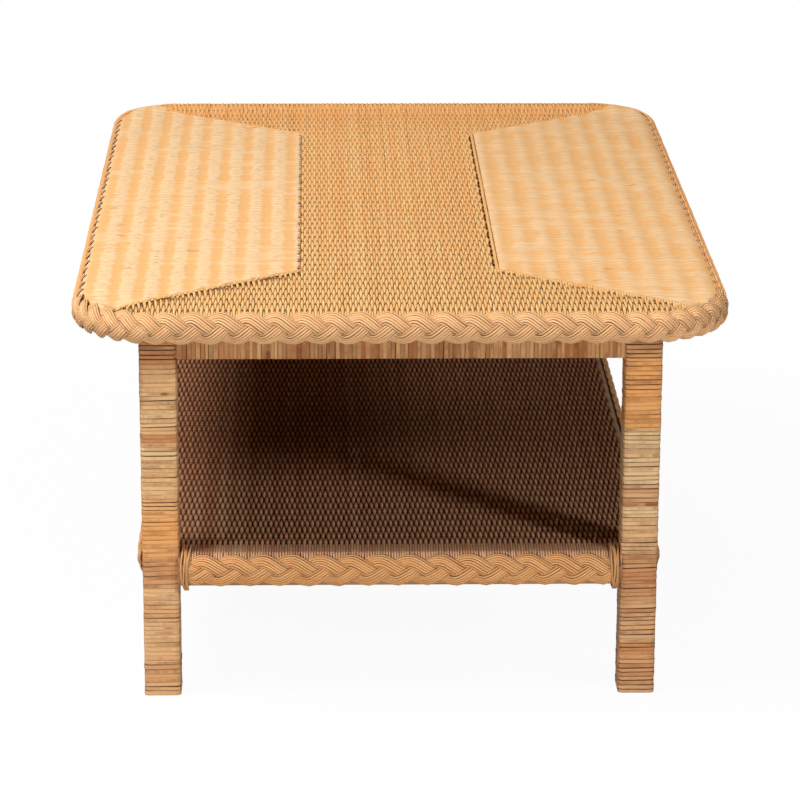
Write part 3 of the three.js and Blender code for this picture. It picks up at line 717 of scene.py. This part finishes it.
for y in np.arange(-20, 21) * shelf_stake:
    reach = shelf_reach if abs(y) < 398 else 236.5
    x = np.arange(-reach, reach + 1, 2 * reach / 36)
    paths.append((x, y, shelf_level - 0.6 - np.maximum(abs(x) - 262, 0) * 0.35))
stakes = lay_stakes("shelf_stakes", shelf_core, 2.6, paths, chance)
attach(stakes, "root")
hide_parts("shelf_weave")


# The shelf's plaits: three plies of six thin reeds each, plaited flat along every rail between
# the legs, over the ends of the weave. The outer reeds of a ply are a little thinner.
reed, reed_step, reeds_in_ply, shelf_plait_out = 2.50, 2.52, 6, 28.4
reed_sizes = (1.0, 1.14, 1.14, 1.14, 1.14, 1.0)
# How far round each reed its painted shade starts: the outer reeds of a ply, at its edges, get more.
reed_brinks = (0.95, 0.68, 0.66, 0.66, 0.68, 0.95)


def three_ply_plait(length, lobe, sway, lift, phase, chance, closed=False, ends=0.0, every=18, eased=None):
    """The lines of a flat three-ply plait in (along, across, height), each ply over the next in
    turn, and for each ply how much painted shade it gets where it dives under the others."""
    plies = []
    curl = 1 / 18
    stations = int(round(length / (3 * lobe) * every)) + (0 if closed else 1)
    base = np.arange(stations) / every * 2 * math.pi
    for ply in range(3):
        t = base + ply * 2 * math.pi / 3 + phase
        s, stretch = base / (2 * math.pi) * 3 * lobe, 1.0
        if eased is not None:
            s, stretch = eased(s)
        fade = np.ones(stations)
        if ends:
            fade = np.clip(np.minimum(s, length - s) / ends, 0, 1) ** 0.8 * 0.75 + 0.25
        swing = sway * fade * (1 + 0.05 * drifting(stations, every / 3, chance))
        across = swing * (np.cos(t) + curl * np.cos(3 * t)) / (1 + curl)
        slope = (-np.sin(t) - 3 * curl * np.sin(3 * t)) / (1 + curl)
        lean = swing * slope * 2 * math.pi / (3 * lobe * stretch)
        size = np.sqrt(1 + lean**2)
        crest = np.sin(2 * t)
        height = lift * crest / np.sqrt(0.30 + crest**2) * math.sqrt(1.30)
        # Painted shade where the ply dives under the next.
        under = np.clip((-crest - 0.45) / 0.4, 0, 1) * np.clip((0.70 - abs(np.cos(t))) / 0.25, 0, 1) * 0.8
        reeds = []
        for k in range(reeds_in_ply):
            off_middle = k - (reeds_in_ply - 1) / 2
            aside = off_middle * reed_step * (0.55 + 0.45 * fade)
            aside = aside + 0.22 * drifting(stations, every / 4, chance)
            crown = -0.9 * (off_middle / 2.5) ** 2
            level = (height + crown) * fade + 0.16 * drifting(stations, every / 5, chance)
            reeds.append(np.stack([s - aside * lean / size, across + aside / size, level], 1))
        plies.append((reeds, under))
    return plies


def bent_over(base, outward, level, angle, out):
    """A reed laid round an edge whose middle is base, at that level, and which way it faces."""
    level_out, upward = outward * np.cos(angle)[:, None], np.sin(angle)[:, None]
    line = np.concatenate([base + level_out * out[:, None], level + upward * out[:, None]], 1)
    return line, np.concatenate([level_out, upward], 1)


shelf_plait_reed = rattan_core(
    "shelf_plait_reed", (255, 200, 138), (234, 166, 108), (242, 172, 110),
    (186, 116, 68), (64, 20, 4), 0.92, 0.02
)
for number, (side, start, run, outward, length) in enumerate(
    [
        ("front", (-237.0, -415.0), (1, 0), (0, -1), 474.0),
        ("right", (253.0, -399.0), (0, 1), (1, 0), 798.0),
        ("back", (237.0, 415.0), (-1, 0), (0, 1), 474.0),
        ("left", (-253.0, 399.0), (0, -1), (-1, 0), 798.0),
    ]
):
    chance = np.random.default_rng(301 + number)
    lines, tones, facing, dives = [], [], [], []
    for reeds, under in three_ply_plait(length, 31.8, 11.4, 1.8, 0.6, chance, ends=16.0):
        ply_tone = chance.uniform(-0.1, 0.1)
        for line in reeds:
            dives.append(under)
            angle = line[:, 1] / 30.2 + 0.08
            free = np.clip(np.minimum(line[:, 0], length - line[:, 0]) / 16.0, 0, 1)
            out = shelf_plait_out + 1.9 * free + line[:, 2]
            along = np.clip(line[:, :1], 0.5, length - 0.5)
            base = np.array(start) + np.array(run) * along
            line, faces = bent_over(base, np.array([outward]), rail_level, angle, out)
            lines.append(line)
            facing.append(faces)
            tones.append(about(0.5 + ply_tone, 0.3, chance))
    widths = [np.full(len(line), size) for line, size in zip(lines, reed_sizes * 3)]
    plait = lay_core(
        "shelf_plait_reeds_" + side, shelf_plait_reed, lines, reed, facing, swell=widths, tones=tones,
        sunk_shade=dives, brink=reed_brinks * 3
    )
    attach(plait, "root")
    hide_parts("shelf_plait_" + side)


# The lashings hold each plait's ends beside the legs: four reeds taken round rail and plait
# together, pulled tight and crossed a little on the way round.
lashing_reed = rattan_core(
    "lashing_reed", (240, 186, 126), (196, 138, 88), (222, 156, 98), (140, 88, 50),
    (80, 42, 20)
)
# One turn of a lashing in (out from the rail's back, up), and the middle that it goes round.
loop = np.array(
    [(0, 121.0), (12, 121.0), (23, 121.6), (30, 125.5), (34.0, 133), (35.2, 143), (34.0, 153),
     (30, 160.5), (22, 165.4), (12, 166.6), (0, 166.2), (-1.2, 155), (-1.2, 143), (-1.2, 130)], float
)
loop_middle = [12.0, rail_level]
for number, (rail, place) in enumerate(
    [("front", "left"), ("front", "right"), ("back", "left"), ("back", "right"),
     ("left", "front"), ("left", "back"), ("right", "front"), ("right", "back")]
):
    chance = np.random.default_rng(401 + number)
    low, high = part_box("lashing_%s_at_%s" % (rail, place))
    middle = (low + high) * 500
    lengthwise = rail in ("left", "right")
    inward = -np.sign(middle.y if lengthwise else middle.x)
    outward_sign = 1 if rail in ("right", "back") else -1
    lines, tones, facing = [], [], []
    for k in range(4):
        t = np.arange(len(loop) * 3) / 3
        keys = np.arange(len(loop) + 1)
        keyed = np.stack([np.interp(t, keys, np.r_[loop[:, a], loop[0, a]]) for a in (0, 1)], 1)
        for _ in range(2):
            keyed = (np.roll(keyed, 1, 0) + keyed * 2 + np.roll(keyed, -1, 0)) / 4
        high_up = np.clip((keyed[:, 1] - rail_level) / 22, -1, 1)
        aside = (k - 1.5) * (1.9 + 1.0 * high_up) + 0.9 * np.sin(t / len(loop) * 4 * math.pi + k * 1.7)
        aside = aside + inward * (1.4 * high_up**2 - 0.6)
        out = keyed[:, 0] + 0.5 * np.sin(t * 0.9 + k * 2.1) + (0.5 if k in (1, 2) else 0)
        centre = keyed - loop_middle
        centre = centre / np.linalg.norm(centre, axis=1)[:, None]
        if lengthwise:
            line = [outward_sign * (251.5 + out * 0.875), middle.y + aside, keyed[:, 1]]
            facing.append(np.stack([outward_sign * centre[:, 0], 0 * t, centre[:, 1]], 1))
        else:
            line = [middle.x + aside, outward_sign * (413.5 + out), keyed[:, 1]]
            facing.append(np.stack([0 * t, outward_sign * centre[:, 0], centre[:, 1]], 1))
        lines.append(np.stack(line, 1))
        tones.append(chance.uniform(0.15, 0.85))
    side = "%s_at_%s" % (rail, place)
    lashing = lay_core(
        "lashing_reeds_" + side, lashing_reed, lines, 2.3, facing, sides=8, closed=True, tones=tones
    )
    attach(lashing, "root")
    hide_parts("lashing_" + side)


# The woven field of the top: the same core run lengthwise over stakes that lie across, waisted
# like an hourglass between the two inlaid panels. At the panels each strand hooks over into the
# seam, and at the far end the strands turn down over the pole and go under the plait.
field_core = rattan_core(
    "field_core", (255, 212, 146), (250, 178, 110), (255, 186, 116), (220, 148, 88),
    (76, 12, 0), 1.0, 0.0
)
field_pitch, field_stake = 2.83, 19.7
top_level, pole_level, pole_round, weave_end = 447.5, 430.7, 77.4, 12.5
corner_x, corner_y = 250.0, 400.0
waist_x, waist_y, tip_x, tip_y = 107.0, 322.0, 299.0, 464.0


def rim_depth(x, y):
    """How far outside the pole's centre line a point of the top lies; less than 0 inside it."""
    qx, qy = np.abs(x) - corner_x, np.abs(y) - corner_y
    return np.hypot(np.maximum(qx, 0), np.maximum(qy, 0)) + np.minimum(np.maximum(qx, qy), 0) - pole_round


def seam_from_end(x):
    """How far from the middle the oblique seam crosses a lengthwise strand."""
    return waist_y + (abs(x) - waist_x) * (tip_y - waist_y) / (tip_x - waist_x)


def lie_of_top(x, y):
    """How high the middle of the weave lies: flat, then over the pole, and proud at the far end."""
    depth = rim_depth(x, y)
    down = np.clip((depth + 20) / 20, 0, 1)
    over_pole = pole_level + np.sqrt(np.maximum(15.2**2 - depth**2, 30.0))
    level = np.where(depth > 0, over_pole, top_level - 1.6 * down**2)
    swelling = np.clip((depth + 42) / 42, 0, 1)
    return level + 6.6 * swelling**2 * (3 - 2 * swelling) * np.clip((y - 400) / 50, 0, 1)


def proud(x, y):
    """How much higher the far end lies than the near end at that place."""
    return lie_of_top(x, y) - lie_of_top(x, -y)


chance = np.random.default_rng(51)
row_depth = chance.uniform(0.85, 1.20, 60)
middle_strands, end_strands = [], []
count = int(334 / field_pitch)
for number in range(-count, count + 1):
    x = number * field_pitch
    # The middle strands run from end to end; the others stop at the seams of the panels.
    inner, left = -106.0 < x < 103.0, x < 0
    y_all = stations_along(494.0, field_stake)
    y_all = y_all[rim_depth(x, y_all) < weave_end]
    seam = seam_from_end(max(abs(x), waist_x)) + 2.2
    parts = [y_all] if inner else [y_all[y_all < -seam - 1.0], y_all[y_all > seam + 1.0]]
    tone = about(0.5, 0.35, chance)
    jog = 0.9 * math.sin(x * 0.017 + 1) + chance.uniform(-1.0, 1.0)
    for part, y in enumerate(parts):
        if len(y) < 2:
            continue
        near_end = part == 0
        sway = 0.2 * drifting(len(y), 10, chance) + 0.08 * drifting(len(y), 2, chance)
        wave = crossing(y, field_stake, number)
        along = y + jog
        z = lie_of_top(x, along) + 0.75 * wave + 0.12 * drifting(len(y), 4, chance)
        line = np.stack([x + sway, along, z], 1)
        tight = np.clip((440.0 - y) / 880.0, 0, 1)
        swell = (fatness(wave) - 0.02 - 0.26 * tight) * chance.uniform(0.94, 1.05)
        row = np.rint(y / field_stake).astype(int)
        # deep is painted shade: dark dots where a strand goes right under a stake, stronger at the near end
        # and row by row.
        deep = buried(wave, -0.66 - 0.06 * (1 - tight), 0.26) * (0.10 + 1.35 * tight) * row_depth[row]
        deep = np.clip(deep * chance.uniform(0.80, 1.30, len(y)), 0, 1)
        if not inner:
            hook, inwards = 2.6 if left else 0.4, -1.0 if near_end else 1.0
            cap = np.array(
                [[x + hook * 0.35, inwards * (seam + 2.6), 1.0], [x + hook, inwards * (seam - 1.4), 1.1],
                 [x + hook * 1.4, inwards * (seam - 3.6), -1.2]]
            )
            cap[:, 2] += lie_of_top(x, cap[:, 1])
            leaning = np.clip(1.15 - (abs(y) - seam) / 26.0, 0, 1) * near_end
            line[:, 0] -= leaning**2 * hook * 0.6
            swell = swell * (1 - leaning) + leaning * (1.20 if number % 2 else 1.0)
            # Every other strand leaning into the seam is lowered and painted dark as shade, more on the left.
            if number % 2 == 0:
                deep = np.maximum(deep, leaning * (0.95 if left else 0.25))
                line[:, 2] -= leaning * 0.7
            if near_end:
                # Painted shade on the cap of an even strand on the left.
                dark = 0.3 if number % 2 == 0 and left else 0.0
                line, swell = np.concatenate([line, cap]), np.r_[swell, 1.4, 1.4, 1.0]
                deep = np.r_[deep, dark, 0.1, 0.5 if left else 0.2]
            else:
                line, swell = np.concatenate([cap[::-1], line]), np.r_[1.0, 1.1, 1.1, swell]
                deep = np.r_[0.2, 0.0, 0, deep]
        if y[-1] > 0:
            tail = line[-1] + [[0, 2.4, -1.2], [0, 4.4, -4.4], [0, 5.0, -9.0]]
            line, swell = np.concatenate([line, tail]), np.r_[swell, 1.15, 1.15, 1.1]
            deep = np.r_[deep, 0, 0, 0.3]
        y = line[:, 1]
        # Painted light and shade: the strands are lighter towards the near end and darker at the far end.
        far, close = np.clip((y + 300) / 740.0, 0, 1), np.clip((-60 - y) / 340.0, 0, 1)
        tones = tone + 0.08 * far - 0.45 * np.clip((y - 330) / 120.0, 0, 1) + 0.40 * close
        (middle_strands if inner else end_strands).append((line, swell, np.clip(tones, 0, 1), deep))
for name, strands in (("field_core_middle", middle_strands), ("field_core_ends", end_strands)):
    weave = lay_strands(name, field_core, strands, 0.10)
    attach(weave, "root")
    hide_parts("woven_field")
paths = []
for y in np.arange(-24, 25) * field_stake:
    reach = 106.0 if abs(y) < 324 else min(107 + (abs(y) - 326.0) * 192 / 142, 333.0)
    x = np.arange(-60, 61) * reach / 60
    x = x[rim_depth(x, y) < weave_end - 0.5]
    paths.append((x, y, lie_of_top(x, y) - 0.9))
stakes = lay_stakes("field_stakes", field_core, 2.4, paths, chance)
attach(stakes, "root")
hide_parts("woven_field")


# The inlaid panels: flat silky strips laid crosswise, edge to edge, pressed over lengthwise ribs
# so that the surface rolls, the ribs' crests painted paler as a painted sheen. Their ends are
# tucked in along the seam and at the rim, which shows as a row of dots of painted shade. Each
# panel is a straight-backed shape with two oblique ends.
inlay = Finish("inlay_strip", 0.04)
strip_tone, ribs, strip_edge, holes = map(inlay.carried, ("tone", "rib", "edge", "hole"))
where = inlay.place()
silk = inlay.cloud(where, (110.0, 1300.0, 110.0), 4.0, 0.65)
cloudy = inlay.cloud(where, (26.0, 95.0, 26.0), 4.0, 0.7)
fading = inlay.cloud(where, (9.0, 13.0, 9.0), 2.0, 0.6).held(0.34, 0.60) * 0.75 + 0.25
# Painted sheen: paler on the ribs' crests, with the strips' own cloudy tone.
crest_sheen_and_tone = ((ribs - 0.5) * fading + cloudy * 0.8 + strip_tone * 0.34 - 0.05).held(0.26, 0.60)
hair = inlay.cloud(where, (85.0, 700.0, 85.0), 4.0, 0.7)
marks = inlay.cloud(where, (40.0, 30.0, 40.0), 3.0, 0.6)
hair_lines = hair.held(0.56, 0.64) * (marks * 0.7 + ribs * 0.5).held(0.45, 0.80)
edge_marks = strip_edge.held(0.5, 1.0) * (marks * 1.4 - 0.35).held(0.1, 0.5)
knots = inlay.cloud(where, (26.0, 60.0, 26.0), 1.0, 0.5).held(0.76, 0.80) * silk.held(0.35, 0.6)
inlay_colour = inlay.tinted(crest_sheen_and_tone, (250, 190, 124), (255, 217, 170))
for share, colour in (
    (strip_tone * 0.30, (246, 194, 128)),
    (silk.held(0.5, 0.8) * 0.25, (232, 168, 98)),
    (hair_lines * 0.70, (160, 100, 52)),
    (edge_marks * 0.45, (150, 92, 48)),
    (knots * 0.7, (186, 124, 76)),
    # Painted shade in the holes where the strips' ends are tucked.
    (holes.held(0.18, 0.70), (84, 30, 10)),
):
    inlay_colour = inlay.tinted(share, inlay_colour, colour)
inlay.wear(inlay_colour, silk * 0.25 + 0.42, silk + hair - strip_edge * 1.2, 0.0003)
rib_pitch, columns, half_long, groove_half = 26.4, 78, 486.0, 1.9
rim_start, outer_edge, tucked_at = 335.5, 345.5, 13.2
for side, sign, first_rib, inner_edge, notch, contrast, seed in (
    ("left", -1, -133.0, 107.6, 1.0, 0.95, 61),
    ("right", 1, 138.0, 109.6, 0.35, 0.40, 62),
):
    chance = np.random.default_rng(seed)
    edges = [-half_long]
    while edges[-1] < half_long:
        edges.append(edges[-1] + chance.uniform(8.8, 12.6))
    rows, groove = [], []
    for a, b in zip(edges[:-1], edges[1:]):
        rows += [a, a + groove_half, (a + b) / 2, b - groove_half]
        groove += [-0.08 - 0.48 * contrast, 0.0, 0.12, 0.0]
    bpy.ops.object.select_all(action="DESELECT")
    bpy.ops.mesh.primitive_grid_add(x_subdivisions=columns, y_subdivisions=len(rows) - 1, size=1.0)
    panel = bpy.context.object
    panel.name = "inlay_strips_" + side
    grid = points_of(panel)
    column = np.rint((grid[:, 0] + 0.5) * columns).astype(int)
    row = np.rint((grid[:, 1] + 0.5) * (len(rows) - 1)).astype(int)
    strip, part = row // 4, row % 4
    x = np.interp(column, [0, 4, 70, columns], [inner_edge, inner_edge + 5.0, rim_start, outer_edge])
    rows_y = np.array(rows)[row]
    edge_of = strip + (part == 3)
    # The tucked ends dip a little, and the hole marks where they are painted dark as shade.
    at_seam = np.clip(1.5 - (x - inner_edge) / 2.4, 0, 1) * np.where(strip % 3 == 0, 1.0, 0.6)
    at_rim = np.clip(1.3 - abs(rim_depth(x, rows_y) - tucked_at) / 1.3, 0, 1)
    own_hole = chance.uniform(0.65, 1.1, len(edges) + 1)[edge_of]
    hole = np.array([1.0, 0.75, 0.30, 0.75])[part] * notch * np.where(x > 300, at_rim, at_seam) * own_hole
    hole = hole * np.clip((np.where(rows_y > 0, 462, 395) - abs(rows_y)) / 10, 0, 1)
    wave = 0.5 + 0.5 * np.cos(2 * math.pi * (sign * x - first_rib) / rib_pitch)
    wander = np.stack([0.9 * drifting(columns + 1, 3, chance) for _ in range(len(edges) + 1)])
    y = rows_y + wander[edge_of, column] * np.where(part == 2, 0.6, 1.0) - 1.6 * wave
    shift = np.stack([0.22 * drifting(columns + 1, 6, chance) for _ in range(len(edges) + 1)])
    z = top_level + 0.8 + 1.35 * wave**0.8 + np.array(groove)[row] + shift[strip, column]
    over = np.maximum(rim_depth(x, y) - 5.0, 0)
    z = z - over * 0.25 - over**2 * 0.030 + 0.8 * proud(x, y)
    z = z - np.clip((inner_edge + 5 - x) / 5, 0, 1) - hole * 0.6
    moved = np.stack([sign * x, y, z], 1) / 1000
    panel.data.vertices.foreach_set("co", moved.astype(np.float32).ravel())
    strip_tones = np.clip(0.5 + chance.uniform(-0.5, 0.5, len(edges) + 1) * 0.80 * contrast, 0, 1)
    # Where the ribs' crests are, for their painted sheen.
    rib = contrast * (wave - 0.5) + 0.17 + 0.32 * contrast
    carry(panel, tone=strip_tones[strip], rib=rib, edge=part == 0, hole=hole)
    panel.data.update()
    cuts = []
    for end in (-1, 1):
        seam_run = Vector((tip_x - waist_x, end * (tip_y - waist_y), 0)).normalized()
        outward = Vector((-seam_run.y * end * sign, seam_run.x * end, 0))
        cuts.append(((sign * waist_x / 1000, end * waist_y / 1000, 0.45), outward))
    for end in (-1, 1):
        for degrees in (8, 24, 40, 56, 72, 86):
            turned = math.radians(degrees)
            outward = Vector((sign * math.cos(turned), end * math.sin(turned), 0))
            cuts.append((Vector((sign * 0.250, end * 0.400, 0.45)) + outward * 0.0952, outward))
    bpy.ops.object.mode_set(mode="EDIT")
    for place, outward in cuts:
        bpy.ops.mesh.select_all(action="SELECT")
        bpy.ops.mesh.bisect(plane_co=place, plane_no=outward, clear_outer=True)
    turn_outward()
    if panel.data.polygons[0].normal.z < 0:
        panel.data.flip_normals()
    thicker = panel.modifiers.new("strip", "SOLIDIFY")
    thicker.thickness, thicker.offset = 0.0012, -1.0
    bpy.ops.object.modifier_apply(modifier=thicker.name)
    bpy.ops.object.shade_smooth_by_angle(angle=math.radians(60))
    panel.data.materials.append(inlay.material)
    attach(panel, "root")
    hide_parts("inlay_" + side)


# The seam strands: a core laid along the join of weave and panel, thin and low on the left and
# thicker on the right, and one or two more along the pole at the panel's outer edge. They cover
# the cut ends of both.
for side, sign, straight, low_by, oblique, rims in (
    ("left", -1, 0.28, 1.2, 0.45, [(17.2, 443.4, 1.15)]),
    ("right", 1, 0.85, 0.0, 0.62, [(15.3, 445.2, 0.60), (18.0, 442.9, 0.85)]),
):
    chance = np.random.default_rng(71 + sign)
    keys = [(300.5, -465.0), (108.5, -322.8), (107.2, -320.0), (107.2, 320.0), (108.5, 322.8), (300.5, 465.0)]
    keys, steps = np.array(keys), []
    for a, b in zip(keys[:-1], keys[1:]):
        n = max(2, int(np.linalg.norm(b - a) / 8))
        steps.append(a + (b - a) * (np.arange(n) / n)[:, None])
    x, y = np.concatenate(steps + [keys[-1:]]).T
    level = top_level + 0.7 + 0.15 * drifting(len(x), 3, chance) + 0.5 * proud(x, y)
    level = level - np.where(abs(y) < 320, low_by, 0.0)
    lines = [np.stack([sign * x + 0.25 * drifting(len(x), 4, chance), y, level], 1)]
    widths = [np.where(abs(y) < 322, straight, np.where(y < 0, oblique, 0.30))]
    for out_by, height, size in rims:
        radius, turned = pole_round + out_by, np.radians(np.arange(0, 79, 6.0))
        bend = np.stack([corner_x + radius * np.cos(turned), corner_y + radius * np.sin(turned)], 1)
        straight_run = np.arange(-392, 393, 8.0)
        along = np.stack([np.full(len(straight_run), corner_x + radius), straight_run], 1)
        x, y = np.concatenate([bend[::-1] * [1, -1], along, bend]).T
        sinking = np.clip((-y - 384) / 32, 0, 1) * 1.6
        rim_x = x + 0.3 * drifting(len(x), 3, chance)
        lines.append(np.stack([sign * rim_x, y, height - sinking + 0.8 * proud(x, y)], 1))
        widths.append(np.full(len(x), size))
    seam_strand = lay_core(
        "seam_core_" + side, field_core, lines, 4.6, sides=8, swell=widths,
        tones=[0.30, 0.25, 0.0][: len(lines)], flat=0.8, brink=-0.35
    )
    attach(seam_strand, "root")
    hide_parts("seam_strip_" + side)


# The plaited edging: three plies of six reeds run right round the top, each crossing over the
# next, and cover the pole and the ends of the weave. The plies close on themselves.
edge_round, corner_crowd, lobes_round, plait_out = 96.9, 1.30, 117, 19.5
edge_parts = [2 * corner_x, edge_round * math.pi / 2, 2 * corner_y, edge_round * math.pi / 2] * 2
edge_ends = np.concatenate([[0.0], np.cumsum(edge_parts)])
edge_run = edge_ends[-1]
edge_lobe = edge_run / lobes_round


def round_the_edge(s):
    """Where the pole's centre line is, and which way faces out, after a run of s from the near
    left corner."""
    s = np.mod(s, edge_run)
    part = np.clip(np.searchsorted(edge_ends, s, side="right") - 1, 0, 7)
    into = s - edge_ends[part]
    turned = np.where(part % 2 == 1, into / edge_round, 0.0) + (part // 2) * math.pi / 2
    heading = turned - math.pi / 2
    outward = np.stack([np.cos(heading), np.sin(heading)], 1)
    centres = np.array([(1, -1), (1, 1), (-1, 1), (-1, -1)]) * [corner_x, corner_y]
    base = centres[part // 2] + outward * pole_round
    back = np.where(part % 2 == 0, np.array(edge_parts)[part] - into, 0.0)
    ahead = np.stack([-outward[:, 1], outward[:, 0]], 1)
    return base - ahead * back[:, None], outward


fine_run = np.linspace(0, edge_run, 4001)
crowd = np.ones(len(fine_run))
for k in (1, 3, 5, 7):
    arc_start, arc_end = edge_ends[k], edge_ends[k + 1]
    into_arc = np.minimum(fine_run - arc_start + 30, arc_end + 30 - fine_run)
    crowd += (corner_crowd - 1) * np.clip(into_arc / 60, 0, 1)
crowd_sum = np.concatenate([[0.0], np.cumsum((crowd[:-1] + crowd[1:]) / 2)])
crowd_sum *= edge_run / crowd_sum[-1]


def closer_at_corners(s):
    """The plait is pulled tighter round the corners: where an even run s ends up, and its stretch."""
    held = np.interp(s, crowd_sum, fine_run)
    return held, np.interp(held, fine_run, np.gradient(fine_run) / np.gradient(crowd_sum))


plait_reed = rattan_core(
    "plait_reed", (255, 210, 156), (236, 178, 126), (246, 184, 130), (190, 126, 80),
    (70, 22, 6), 0.92, 0.02
)
chance = np.random.default_rng(81)
plies = three_ply_plait(
    edge_run, edge_lobe, 11.8, 1.75, 0.0, chance, closed=True, every=16, eased=closer_at_corners
)
even_run = np.arange(len(plies[0][1])) / 16 * 3 * edge_lobe
stretch = closer_at_corners(even_run)[1]
fuller = 1.0 + 0.12 * (1 - stretch / stretch.max()) / 0.23
for number, (reeds, under) in enumerate(plies, 1):
    lines, tones, facing = [], [], []
    for line in reeds:
        base, outward = round_the_edge(line[:, 0])
        lowered = 0.25 * np.clip((base[:, 1] - 420.0) / 50.0, 0, 1)
        angle = line[:, 1] / 19.3 + 0.06 - lowered
        out = plait_out + np.clip((-corner_y - base[:, 1]) / 50.0, 0, 1) + line[:, 2]
        line, faces = bent_over(base, outward, pole_level, angle, out)
        lines.append(line)
        facing.append(faces)
        tones.append(about(0.5, 0.35, chance))
    widths = [fuller * size for size in reed_sizes]
    plait = lay_core(
        "edge_plait_reeds_%d" % number, plait_reed, lines, reed, facing, sides=8, closed=True,
        swell=widths, tones=tones, sunk_shade=[under] * len(lines), brink=reed_brinks
    )
    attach(plait, "root")
    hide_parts("edge_plait_ply_%d" % number)
